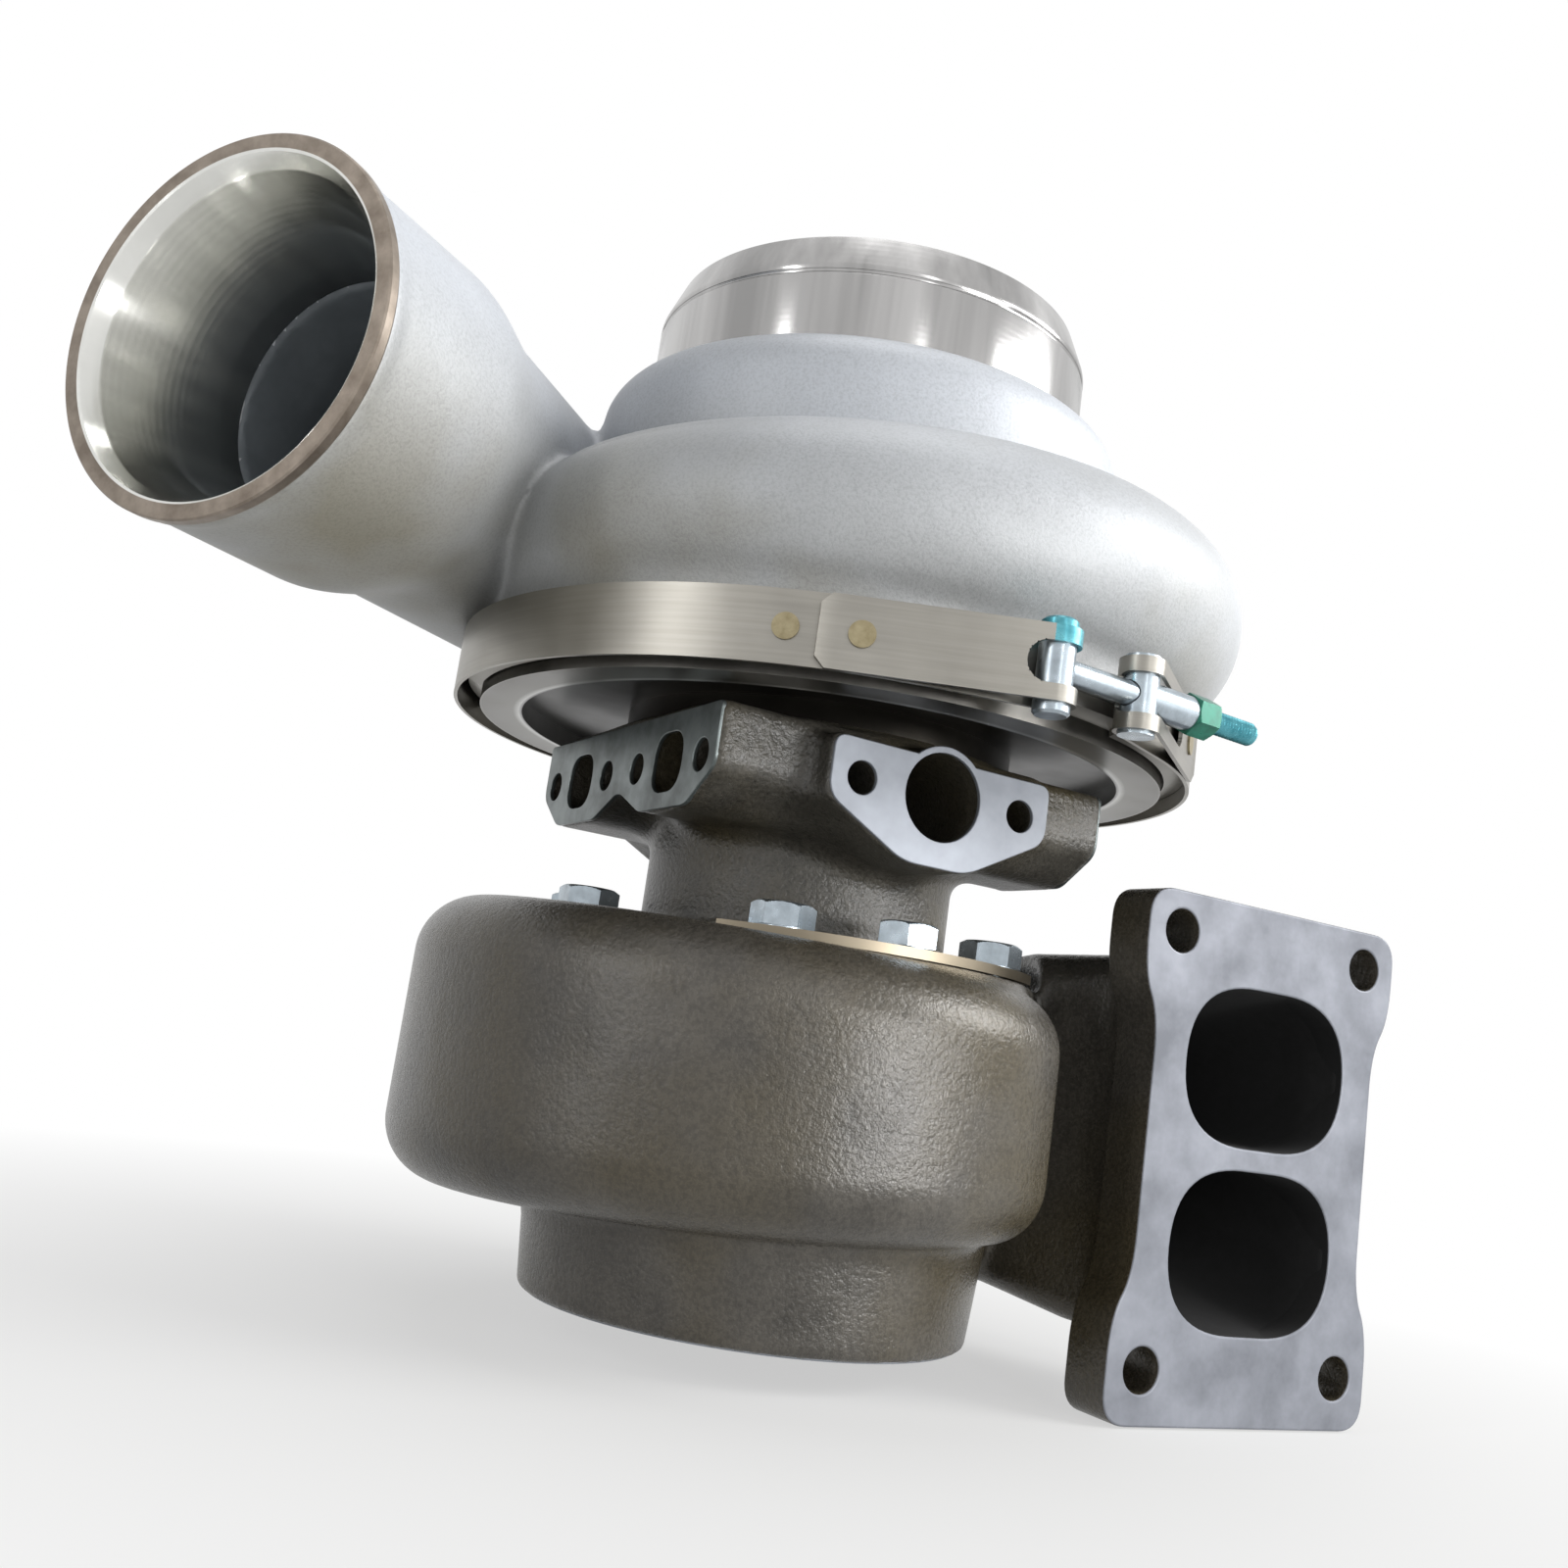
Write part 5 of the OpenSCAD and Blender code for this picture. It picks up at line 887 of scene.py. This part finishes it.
class TURBO_OT_compressor_cover(bpy.types.Operator):
    """Sand-cast scroll of the compressor cover with its throat, collar and boss"""
    bl_idname = "turbo.compressor_cover"
    bl_label = "Compressor cover"

    def execute(self, context):
        grid = context.scene.turbo_castings.cover_grid * 1000
        shape = level_surface(cover_field, (-268, -172, 193), (172, 172, 317), grid)
        piece("compressor_cover_casting", shape, ["cover", "passage"], "compressor_cover",
              crease=60, pick=lambda c, n: in_passage(c))
        return {"FINISHED"}


class TURBO_OT_inlet_pipe(bpy.types.Operator):
    """Turned inlet pipe with its groove and lead-in, and the wheel's contour inside"""
    bl_idname = "turbo.inlet_pipe"
    bl_label = "Inlet pipe"

    def execute(self, context):
        m = np.linspace(0, 1, 17)
        q = np.radians(90 * m)
        contour = quarter(*COMP_SHROUD, m, True) + 0.5 * np.column_stack([np.cos(q), np.sin(q)])
        pipe_r, bore_r, groove_r = 76.2, 67.2, 75.5
        outside = [(pipe_r, 300), (pipe_r, 326), (groove_r, 326.1), (groove_r, 327.4), (pipe_r, 327.5),
                   (pipe_r, LEAD_Z), (71.2, INLET_TOP_Z), (bore_r, INLET_TOP_Z), (bore_r, LEAD_Z),
                   (46.5, 254)]
        hidden = [(66, 203), (66, 206), (54, 216), (50.5, 234), (50.5, 256), (63.5, 300)]
        profile = np.vstack([broken(outside, edge_mm(), False), contour, hidden])
        piece("inlet_pipe", turned(profile, steps()), ["pipe"], "compressor_cover",
              crease=25)
        return {"FINISHED"}


class TURBO_OT_outlet_mouth(bpy.types.Operator):
    """Bored mouth of the compressor outlet with its chamfer and handled rim"""
    bl_idname = "turbo.outlet_mouth"
    bl_label = "Outlet mouth"

    def execute(self, context):
        profile = [(55.6, -4.5), (57.0, -3.6), (57.0, 0), (51.8, 0), (49, -5.4), (41.6, -45), (40.9, -53),
                   (43.5, -53), (43.6, -45), (51.5, -6)]
        off_axis = lambda c: np.linalg.norm(np.cross(c - MOUTH, EXIT_T), axis=1)
        rim = lambda c, n: ((c - MOUTH) @ EXIT_T > -0.02) | (off_axis(c) > 56)
        shape = turned(broken(profile, edge_mm()), steps(), MOUTH, EXIT_T)
        piece("outlet_mouth", shape, ["mouth", "rim"],
              "compressor_cover", crease=25, pick=rim)
        return {"FINISHED"}


class TURBO_OT_turbine_casting(bpy.types.Operator):
    """Iron scroll of the turbine housing with its duct, outlet pipe and sooty passages"""
    bl_idname = "turbo.turbine_casting"
    bl_label = "Turbine casting"

    def execute(self, context):
        grid = context.scene.turbo_castings.turbine_grid * 1000
        shape = level_surface(turbine_field, (-140, -112, -13), (190, 152, 156), grid)
        sooty = lambda c, n: gas_field(*c.T) < 1.0
        piece("turbine_casting", shape, ["turbine", "soot"], "turbine_housing",
              crease=60, pick=sooty)
        return {"FINISHED"}


class TURBO_OT_inlet_flange(bpy.types.Operator):
    """Turbine inlet flange with milled face, waisted sides, bolt holes and two ports"""
    bl_idname = "turbo.inlet_flange"
    bl_label = "Inlet flange"

    def execute(self, context):
        top, low, flare = 79.45, -83.05, WAIST_V + WAIST_RUN
        right = [(FLANGE_HALF, low), (FLANGE_HALF, -flare), (FLANGE_WAIST, -WAIST_V),
                 (FLANGE_WAIST, WAIST_V), (FLANGE_HALF, flare), (FLANGE_HALF, top)]
        corners = right + [(-u, v) for u, v in right[::-1]]
        outline = rounded2(corners, [10, 12, 12, 12, 12, 10] * 2)
        holes = [ring2(u, v, 6.9) for u, v in FLANGE_BOLTS]
        port = rounded2(corners4(PORT_HALF_U, PORT_HALF_V), 28, 16)
        holes += [port + np.array([0, z - INLET_MID_Z]) for z in PORT_Z]
        shape = plate(outline, holes, FLANGE_T, 0.7, (INLET_X, INLET_FACE, INLET_MID_Z), (1, 0, 0), UP)
        milled = lambda c, n: np.where(n[:, 1] < -0.5, 1, np.where(gas_field(*c.T) < 1.5, 2, 0))
        piece("turbine_inlet_flange", shape, ["turbine", "flange", "soot"],
              "turbine_housing", crease=14, pick=milled)
        return {"FINISHED"}


class TURBO_OT_turbine_outlet(bpy.types.Operator):
    """Bored outlet of the turbine housing, from the rim to the wheel's contour"""
    bl_idname = "turbo.turbine_outlet"
    bl_label = "Turbine outlet"

    def execute(self, context):
        m = np.linspace(1, 0, 13)
        q = np.radians(90 * m)
        contour = quarter(*TURB_SHROUD, m, False) + 0.5 * np.column_stack([np.sin(q), -np.cos(q)])
        rim = broken([(71.2, 3.0), (71.2, 0), (66.75, 0), (66.75, 6), (50, 39.1)], edge_mm(), False)
        profile = np.vstack([rim, contour, [(60, 75.1), (59, 60), (54.5, 46), (54.5, 38), (69.5, 7)]])
        piece("turbine_outlet_bore", turned(profile, steps()), ["milled", "soot"],
              "turbine_housing", crease=25, pick=lambda c, n: c[:, 2] > 6)
        return {"FINISHED"}


class TURBO_OT_centre_housing(bpy.types.Operator):
    """Cast centre housing with fillets, ports and threaded holes"""
    bl_idname = "turbo.centre_housing"
    bl_label = "Centre housing"

    def execute(self, context):
        grid = context.scene.turbo_castings.centre_grid * 1000
        shape = level_surface(housing_field, (-74, -83, 96), (74, 83, 186), grid)
        piece("centre_housing_casting", shape, ["housing"], "centre_housing",
              crease=60)
        profile = [(15.5, 99.2), (15.5, 107), (22, 107), (22, 112), (15.06, 112), (15.06, 166.5), (22, 166.5),
                   (22, 171), (34.1, 171), (34.1, 183), (36, 183), (36, 170), (25, 170), (25, 106), (17, 106),
                   (17, 99.2)]
        shape = turned(broken(profile, edge_mm()), steps() // 2)
        piece("bearing_bore", shape, ["ground"], "centre_housing",
              crease=25)
        return {"FINISHED"}


class TURBO_OT_milled_pads(bpy.types.Operator):
    """Milled faces of the oil drain, the oil inlet and the coolant ports"""
    bl_idname = "turbo.milled_pads"
    bl_label = "Milled pads"

    def execute(self, context):
        pad = [(-11.5, -21.4), (11.5, -21.4), (39.4, -6.7), (39.4, 11.4), (-39.4, 11.4), (-39.4, -6.7)]
        rear_pad = rounded2(pad, 5)
        arch = np.radians(np.linspace(47, 133, 25))
        arch = np.column_stack([15.5 * np.cos(arch), 15.5 * np.sin(arch)])
        front_pad = rounded2(pad[:4] + arch.tolist() + pad[4:], [5, 5, 5, 4] + [0.2] * 25 + [4, 5])
        drain = [ring2(0, 0, 13.5, 96)] + [ring2(u, 0, 5) for u in (-DRAIN_HOLE_X, DRAIN_HOLE_X)]
        inlet_v = OIL_INLET_Z - BLOCK_Z
        feed = [ring2(0, inlet_v, 6)] + [ring2(u, inlet_v, 4) for u in (-FEED_HOLE_X, FEED_HOLE_X)]
        skin = (1.5, 0.35)
        front = plate(front_pad, drain, *skin, (0, -80, BLOCK_Z), (1, 0, 0), UP)
        rear = plate(rear_pad, feed, *skin, (0, 80, BLOCK_Z), (-1, 0, 0), UP)
        side = [(2, -7.4), (18.5, -14.5), (51.4, -14.5), (67.4, -3.8), (67.4, 15.4)]
        side = rounded2(side + [(-u, v) for u, v in side[::-1]], [2, 3, 3, 4, 2, 2, 4, 3, 3, 2])
        slot = rounded2(corners4(10.2, 9.3), 8.4, 14)
        ports = [slot + np.array([u, 0]) for u in COOLANT_PORTS_Y] + [ring2(u, 0, 5) for u in COOLANT_HOLES_Y]
        left = plate(side, ports, *skin, (-71, 0, BLOCK_Z), (0, -1, 0), UP)
        right = plate(side, [], *skin, (71, 0, BLOCK_Z), (0, 1, 0), UP)
        for name, shape, finish in (("oil_drain_face", front, "milled"), ("oil_inlet_face", rear, "milled"),
                                    ("coolant_face", left, "oily"), ("plain_block_face", right, "oily")):
            piece(name, shape, [finish], "centre_housing", crease=14)
        return {"FINISHED"}


def blade_mm():
    """Thickness of a blade at its root and at its tip, in millimetres."""
    s = bpy.context.scene.turbo_fittings
    return s.blade_root * 1000, s.blade_tip * 1000


class TURBO_OT_compressor_wheel(bpy.types.Operator):
    """Compressor wheel with long blades and splitters, and its nut"""
    bl_idname = "turbo.compressor_wheel"
    bl_label = "Compressor wheel"

    def execute(self, context):
        count = context.scene.turbo_fittings.comp_blades
        m = np.linspace(0, 1, 25)
        hub, shroud = quarter(*COMP_HUB, m, True), quarter(*COMP_SHROUD, m, True)
        swing = lambda t: -52 * (1.35 * t - 0.35 * t * t)
        late = np.linspace(0.32, 1, 18)
        profile = np.vstack([[(6.52, 192.5), (61.6, 192.5), (62, 192.9), (62, 195.5)], hub[::-1],
                             [(15.5, 239), (14, 244), (6.52, 244)]])
        late_hub, late_shroud = quarter(*COMP_HUB, late, True), quarter(*COMP_SHROUD, late, True)
        shape = joined(turned(profile, steps()), blades(hub, shroud, swing(m), blade_mm(), count),
                       blades(late_hub, late_shroud, swing(late), blade_mm(), count, 180 / count))
        piece("compressor_wheel_bladed", shape, ["wheel"], "compressor_wheel", "rotor")
        nut = hexagon(19, 10, 244, 6.52)
        piece("compressor_nut_chamfered", nut, ["spring"], "compressor_nut", "rotor")
        return {"FINISHED"}


class TURBO_OT_turbine_wheel(bpy.types.Operator):
    """Turbine wheel and shaft in one piece"""
    bl_idname = "turbo.turbine_wheel"
    bl_label = "Turbine wheel and shaft"

    def execute(self, context):
        count = context.scene.turbo_fittings.turb_blades
        m = np.linspace(0, 1, 22)
        hub, shroud = quarter(*TURB_HUB, m, False), quarter(*TURB_SHROUD, m, False)
        shaft = broken([(57, 92.6), (57, 95.1), (15, 95.1), (15, 102.25), (12.6, 102.25), (12.6, 104.75),
                        (15, 104.75), (15, 107), (10, 107), (10, 167.9), (6.5, 167.9), (6.5, 258), (0, 258)],
                       edge_mm(), False)
        profile = np.vstack([[(0, 39.1), (6.5, 39.1), (7.25, 39.5), (14.5, 44.1)], hub[::-1], shaft])
        shape = joined(turned(profile, steps(), closed=False),
                       blades(hub, shroud, -40 * m ** 2.2, blade_mm(), count))
        bright = lambda c, n: (c[:, 2] > 95.2) & (np.hypot(c[:, 0], c[:, 1]) < 20)
        piece("turbine_wheel_bladed", shape, ["alloy", "ground"], "turbine_wheel_shaft",
              "rotor", pick=bright)
        return {"FINISHED"}


class TURBO_OT_clamp_bolts(bpy.types.Operator):
    """Nine hex bolts on the clamp plates, with chamfered heads on washer faces"""
    bl_idname = "turbo.clamp_bolts"
    bl_label = "Clamp bolts"

    def execute(self, context):
        flats = context.scene.turbo_fittings.clamp_head * 1000
        seat_z, tip_z, foot_r, shank_r = 119.0, 95, flats * 0.48, 4.9
        head = hexagon(flats, 7.1, seat_z + 0.4, both=False)
        foot = [(0, seat_z), (foot_r, seat_z), (foot_r, seat_z + 0.5), (0, seat_z + 0.5)]
        foot = turned(foot, 96, closed=False)
        shank = [(0, tip_z), (shank_r - 0.5, tip_z), (shank_r, tip_z + 0.5), (shank_r, seat_z + 0.2),
                 (0, seat_z + 0.2)]
        shank = turned(shank, 48, closed=False)
        bolt = joined(head, foot, shank)
        bolt[0][:, 0] += CLAMP_R
        turns = [CLAMP_AZ + 120 * p + 30 * b for p in range(3) for b in (-1, 0, 1)]
        piece("clamp_bolts_chamfered", turned_copies(bolt, turns), ["zinc"], "clamp_bolts",
              crease=28)
        return {"FINISHED"}


def on_rod(points):
    """Points in the rod's frame (out, along, up) about the middle of the band's gap, put in the part's."""
    return (points[:, :1] + ROD_X) * BAND_OUT + points[:, 1:2] * BAND_ALONG + (points[:, 2:] + JOINT_Z) * UP


def strap_line():
    """Half of the strap's middle line in a frame whose X axis runs through the gap: the circle from the far
    side, the straight leg that leaves it, the loop round the T-head, the leg back and the lapped end. Gives
    the points, how far along each lies, and where the loop starts and the lap begins."""
    ring, lap, loop, reach, half = 124.4, 125.7, 6.0, 133.7, 7.0
    leave = half + math.degrees(math.acos((ring + loop) / reach))
    land = half + math.degrees(math.acos((lap - loop) / reach))
    d = lambda a: np.column_stack([np.cos(np.radians(a)), np.sin(np.radians(a))])
    eye = reach * d([half])
    runs = [ring * d(np.linspace(180, leave, 90)),
            mix(ring * d([leave]), eye - loop * d([leave]), np.linspace(0, 1, 60)[1:, None]),
            eye + loop * d(np.linspace(leave + 180, land + 360, 60)[1:]),
            mix(eye + loop * d([land]), lap * d([land]), np.linspace(0, 1, 120)[1:, None]),
            (lap + 0.5 * np.linspace(0, 1, 12)[1:, None] ** 2) * d(np.linspace(land, land + 2.5, 12)[1:])]
    line = np.vstack(runs)
    far = np.concatenate([[0], np.cumsum(np.linalg.norm(np.diff(line, axis=0), axis=1))])
    return line, far, far[len(runs[0]) + len(runs[1]) - 1], far[-1 - len(runs[-1])]


class TURBO_OT_band_strap(bpy.types.Operator):
    """Strap of the clamping band, looped at both ends with a slot for the bolt, its lapped ends cropped"""
    bl_idname = "turbo.band_strap"
    bl_label = "Band strap"

    def execute(self, context):
        line, far, loop, lap = strap_line()
        half, corner = 10.5, 3
        height = np.linspace(-half, half, 43)
        crop = np.clip(np.abs(height) - half + corner, 0, corner)[None, :]
        shapes = []
        for side, reach in ((-1, 26.0), (1, 56.0)):
            s = far[:, None] + 0 * height[None, :]
            s = np.where(s > lap, lap + (s - lap) * (1 - crop / (far[-1] - lap)), s)
            z = height[None, :] + 0 * s
            cut = lambda s, z: box2(s - loop - 3 - reach / 2, z, reach / 2, 5.9, 5.85)
            slot, e = cut(s, z), 0.01
            near = np.abs(slot) < 0.26
            gs, gz = (cut(s + e, z) - slot) / e, (cut(s, z + e) - slot) / e
            s, z = np.where(near, s - gs * slot, s), np.where(near, z - gz * slot, z)
            keep = (near | (slot > 0)).ravel()
            x, y = np.interp(s, far, line[:, 0]), side * np.interp(s, far, line[:, 1])
            points = x[..., None] * BAND_OUT + y[..., None] * BAND_ALONG + (z + JOINT_Z)[..., None] * UP
            faces = grid_faces(*s.shape, close_columns=False)
            faces = faces[keep[faces].all(axis=1)]
            shapes.append((points.reshape(-1, 3), faces[:, ::-side]))
        eye = on_rod(np.array([[0.0, -LOOP_Y, 0.0]]))[0]
        capped = lambda c, n: (c[:, 2] > JOINT_Z + 5.8) & (np.hypot(c[:, 0] - eye[0], c[:, 1] - eye[1]) < 6.4)
        ob = piece("band_strap_looped", joined(*shapes), ["band", "teal"], "band_strap",
                   pick=capped)
        sheet = ob.modifiers.new("sheet", "SOLIDIFY")
        sheet.thickness, sheet.offset = 0.0012, 0.0
        edge = ob.modifiers.new("edge", "BEVEL")
        edge.width, edge.segments, edge.limit_method, edge.angle_limit = 0.0003, 2, "ANGLE", math.radians(50)
        edge.harden_normals = True
        return {"FINISHED"}


class TURBO_OT_band_clasp(bpy.types.Operator):
    """T-bolt with a rolled thread and the green lock nut on its end"""
    bl_idname = "turbo.band_clasp"
    bl_label = "Band clasp"

    def execute(self, context):
        pitch = context.scene.turbo_fittings.rod_pitch * 1000
        head_r, head_half, rod_r, thread_y, thread_depth = 5.2, 13.5, 3.5, 34, 0.55
        head = [(0, -head_half), (head_r, -head_half), (head_r, 5.5), (head_r, head_half), (0, head_half)]
        head = broken(head, 0.8, False)
        head = turned(head, 64, closed=False)
        head[0][:, 1] -= LOOP_Y
        rows, columns, tip_y = 900, 40, 80
        y = np.linspace(4, tip_y, rows)[:, None]
        a = np.linspace(0, 2 * np.pi, columns, endpoint=False)[None, :]
        wave = np.abs(2 * ((y / pitch - a / (2 * np.pi)) % 1) - 1)
        depth = thread_depth * ease(np.clip((y - thread_y) / 4, 0, 1))
        r = rod_r - depth * wave - np.clip(y - tip_y + 1, 0, 1)
        rod = np.stack([r * np.cos(a), y - LOOP_Y + 0 * a, r * np.sin(a)], axis=-1).reshape(-1, 3)
        tip = np.array([[0, tip_y - LOOP_Y, 0.0]])
        faces = grid_faces(rows, columns)
        j, last, peak = np.arange(columns), (rows - 1) * columns, np.full(columns, rows * columns)
        end = np.stack([last + j, last + (j + 1) % columns, peak, peak], axis=1)
        shape = joined(head, (np.vstack([rod, tip]), np.vstack([faces, end])))
        teal = lambda c, n: (c[:, 2] > JOINT_Z + 5.6) | (c @ BAND_ALONG > 45)
        piece("t_bolt_threaded", (on_rod(shape[0]), shape[1]), ["zinc", "teal"], "band_t_bolt",
              pick=teal)
        nut, faces = hexagon(11, 9, 0, 3.55)
        nut = np.column_stack([nut[:, 0], nut[:, 2] + 35.5, -nut[:, 1]])
        piece("lock_nut_chamfered", (on_rod(nut), faces), ["nut"], "band_lock_nut",
              crease=28)
        return {"FINISHED"}


class TURBO_OT_solid_finishes(bpy.types.Operator):
    """Finishes of the solids that show as they are"""
    bl_idname = "turbo.solid_finishes"
    bl_label = "Finishes of the solids"

    def execute(self, context):
        finishes = {
            "clamp_plates": "brass", "heat_shield": "sheet", "turbine_piston_ring": "spring",
            "lower_journal_bearing": "bronze", "upper_journal_bearing": "bronze", "bearing_spacer": "ground",
            "bearing_snap_rings": "spring", "thrust_washer": "ground", "thrust_bearing": "bronze",
            "thrust_screws": "spring", "thrust_collar": "ground", "oil_baffle": "sheet",
            "seal_sleeve": "ground", "compressor_piston_ring": "spring", "housing_seal": "rubber",
            "back_plate": "face", "back_plate_screws": "spring", "cover_seal": "rubber",
            "band_segments": "segment", "band_rivets": "weld", "band_trunnion": "zinc",
        }
        for name, finish in finishes.items():
            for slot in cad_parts[name].material_slots:
                slot.material = FINISH[finish]
        return {"FINISHED"}


def unit(v):
    """A vector divided by its own length."""
    return v / np.linalg.norm(v)


def stand(data, side, up, look, place):
    """An object for a lamp or a camera that stands at place and looks along look."""
    ob = bpy.data.objects.new(data.name, data)
    bpy.context.scene.collection.objects.link(ob)
    ob.matrix_world = Matrix([[side[i], up[i], -look[i], place[i]] for i in range(3)] + [[0, 0, 0, 1]])
    return ob


def seen_rays(tree):
    """1 on the rays that show the background: from the camera, off gloss and through glass."""
    path = add(tree, "LightPath")
    seen = add(tree, "Math", {"operation": "MAXIMUM"}, {0: path.outputs["Is Camera Ray"],
                                                        1: path.outputs["Is Glossy Ray"]})
    return add(tree, "Math", {"operation": "MAXIMUM"}, {0: seen, 1: path.outputs["Is Transmission Ray"]})


class TURBO_OT_stage(bpy.types.Operator):
    """Pale floor, white backdrop, soft lights and the camera"""
    bl_idname = "turbo.stage"
    bl_label = "Stage"

    def execute(self, context):
        scene = context.scene
        scene.view_settings.view_transform = "Standard"
        floor_z, floor_half = CAD_BOX[0][2] - 0.0005, 6
        mesh = bpy.data.meshes.new("floor")
        corners = [(x, y, floor_z) for x, y in corners4(floor_half, floor_half)]
        mesh.from_pydata(corners, [], [(0, 1, 2, 3)])
        floor = bpy.data.objects.new("floor", mesh)
        scene.collection.objects.link(floor)
        m, tree, at = blank("studio_floor", 0.0, 0.7)
        shader = tree.nodes["Principled BSDF"]
        shader.inputs["Base Color"].default_value = (*scene.turbo_colours.floor, 1)
        far = add(tree, "MapRange", {"From Min": 0.1, "From Max": 0.5, "To Min": 0.55, "To Max": 1.0},
                  {"Value": add(tree, "VectorMath", {"operation": "LENGTH"}, {0: at}).outputs["Value"]})
        share = add(tree, "Math", {"operation": "MULTIPLY"}, {0: seen_rays(tree), 1: far})
        white = add(tree, "Emission", {"Color": (1, 1, 1, 1), "Strength": 1.0})
        both = add(tree, "MixShader", None, {0: share, 1: shader, 2: white})
        tree.links.new(both.outputs[0], tree.nodes["Material Output"].inputs["Surface"])
        mesh.materials.append(m)

        world = bpy.data.worlds.new("studio")
        scene.world = world
        world.use_nodes = True
        sky = world.node_tree
        dim = add(sky, "Background", {"Color": (1, 1, 1, 1), "Strength": 0.13})
        bright = add(sky, "Background", {"Color": (1, 1, 1, 1), "Strength": 1.0})
        blend = add(sky, "MixShader", None, {0: seen_rays(sky), 1: dim, 2: bright})
        sky.links.new(blend.outputs[0], sky.nodes["World Output"].inputs["Surface"])

        for name, place, aim, size, power in (
                ("softbox_top", (0.0, 0.0, 1.5), (0, 0, 0.25), (0.7, 0.7), 4),
                ("softbox_right", (1.15, -0.65, 0.8), (0.05, 0, 0.15), (0.6, 0.6), 13),
                ("strip_right", (0.95, -1.05, 0.85), (0.0, 0, 0.3), (0.3, 0.6), 6),
                ("strip_low", (0.54, -1.29, 0.13), (0.0, 0, 0.12), (0.6, 0.22), 11),
                ("strip_left", (-1.2, -0.35, 0.5), (-0.1, 0, 0.2), (0.1, 0.9), 3),
                ("strip_front", (-0.15, -1.5, 0.6), (-0.05, 0, 0.2), (0.12, 1.0), 2.2)):
            lamp = bpy.data.lights.new(name, "AREA")
            lamp.shape, lamp.energy = "RECTANGLE", power
            lamp.size, lamp.size_y = size
            to = unit(np.array(aim) - np.array(place))
            side = unit(np.cross(to, [0.0, 0.1, 1.0]))
            stand(lamp, side, np.cross(side, to), to, place)

        # The camera's angles, fitted to the photo's outlines, in radians; turn is about the shaft
        yaw, pitch, roll, turn = -0.0346, 0.1713, 0.1441, math.radians(-29.5)
        look = np.array([math.sin(yaw) * math.cos(pitch), math.cos(yaw) * math.cos(pitch), math.sin(pitch)])
        flat = unit(np.cross(look, UP))
        rise = np.cross(flat, look)
        right = math.cos(roll) * flat + math.sin(roll) * rise
        up = -math.sin(roll) * flat + math.cos(roll) * rise
        c, s = math.cos(turn), math.sin(turn)
        spin = np.array([[c, -s, 0], [s, c, 0], [0, 0, 1]])
        right, up, look = spin @ right, spin @ up, spin @ look
        lens = bpy.data.cameras.new("photo_camera")
        # Width of the picture, focal length and how far the lens is shifted, in pixels of the photo
        image, focal, shift = 1600, 1571, (25.4, 1.1)
        lens.sensor_width, lens.lens = 36, 36 * focal / image
        lens.shift_x, lens.shift_y = shift[0] / image, shift[1] / image
        lens.clip_start = 0.01
        scene.camera = stand(lens, right, up, look, (-0.258, -0.456, 0.0824))
        return {"FINISHED"}


OPERATORS = (
    TURBO_OT_stage, TURBO_OT_solid_finishes, TURBO_OT_compressor_cover, TURBO_OT_inlet_pipe,
    TURBO_OT_outlet_mouth, TURBO_OT_turbine_casting, TURBO_OT_inlet_flange, TURBO_OT_turbine_outlet,
    TURBO_OT_centre_housing, TURBO_OT_milled_pads, TURBO_OT_compressor_wheel, TURBO_OT_turbine_wheel,
    TURBO_OT_clamp_bolts, TURBO_OT_band_strap, TURBO_OT_band_clasp,
)


class TURBO_PT_pieces(bpy.types.Panel):
    """Lists the pieces in the sidebar"""
    bl_label = "Turbocharger"
    bl_space_type = "VIEW_3D"
    bl_region_type = "UI"
    bl_category = "Turbo"

    def draw(self, context):
        for op in OPERATORS:
            self.layout.operator(op.bl_idname)


GROUPS = {"turbo_castings": CastingSizes, "turbo_fittings": FittingSizes, "turbo_colours": FinishColours}


def register():
    """Register the groups of properties, then the operators and the panel."""
    for name, group in GROUPS.items():
        bpy.utils.register_class(group)
        setattr(bpy.types.Scene, name, PointerProperty(type=group))
    for cls in OPERATORS + (TURBO_PT_pieces,):
        bpy.utils.register_class(cls)


def unregister():
    """Take them away again, the panel first."""
    for cls in (TURBO_PT_pieces,) + OPERATORS[::-1]:
        bpy.utils.unregister_class(cls)
    for name, group in GROUPS.items():
        delattr(bpy.types.Scene, name)
        bpy.utils.unregister_class(group)


def main():
    """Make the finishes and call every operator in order."""
    register()
    FINISH.update(make_finishes())
    for op in OPERATORS:
        area, verb = op.bl_idname.split(".")
        getattr(getattr(bpy.ops, area), verb)()


if __name__ == "__main__":
    main()
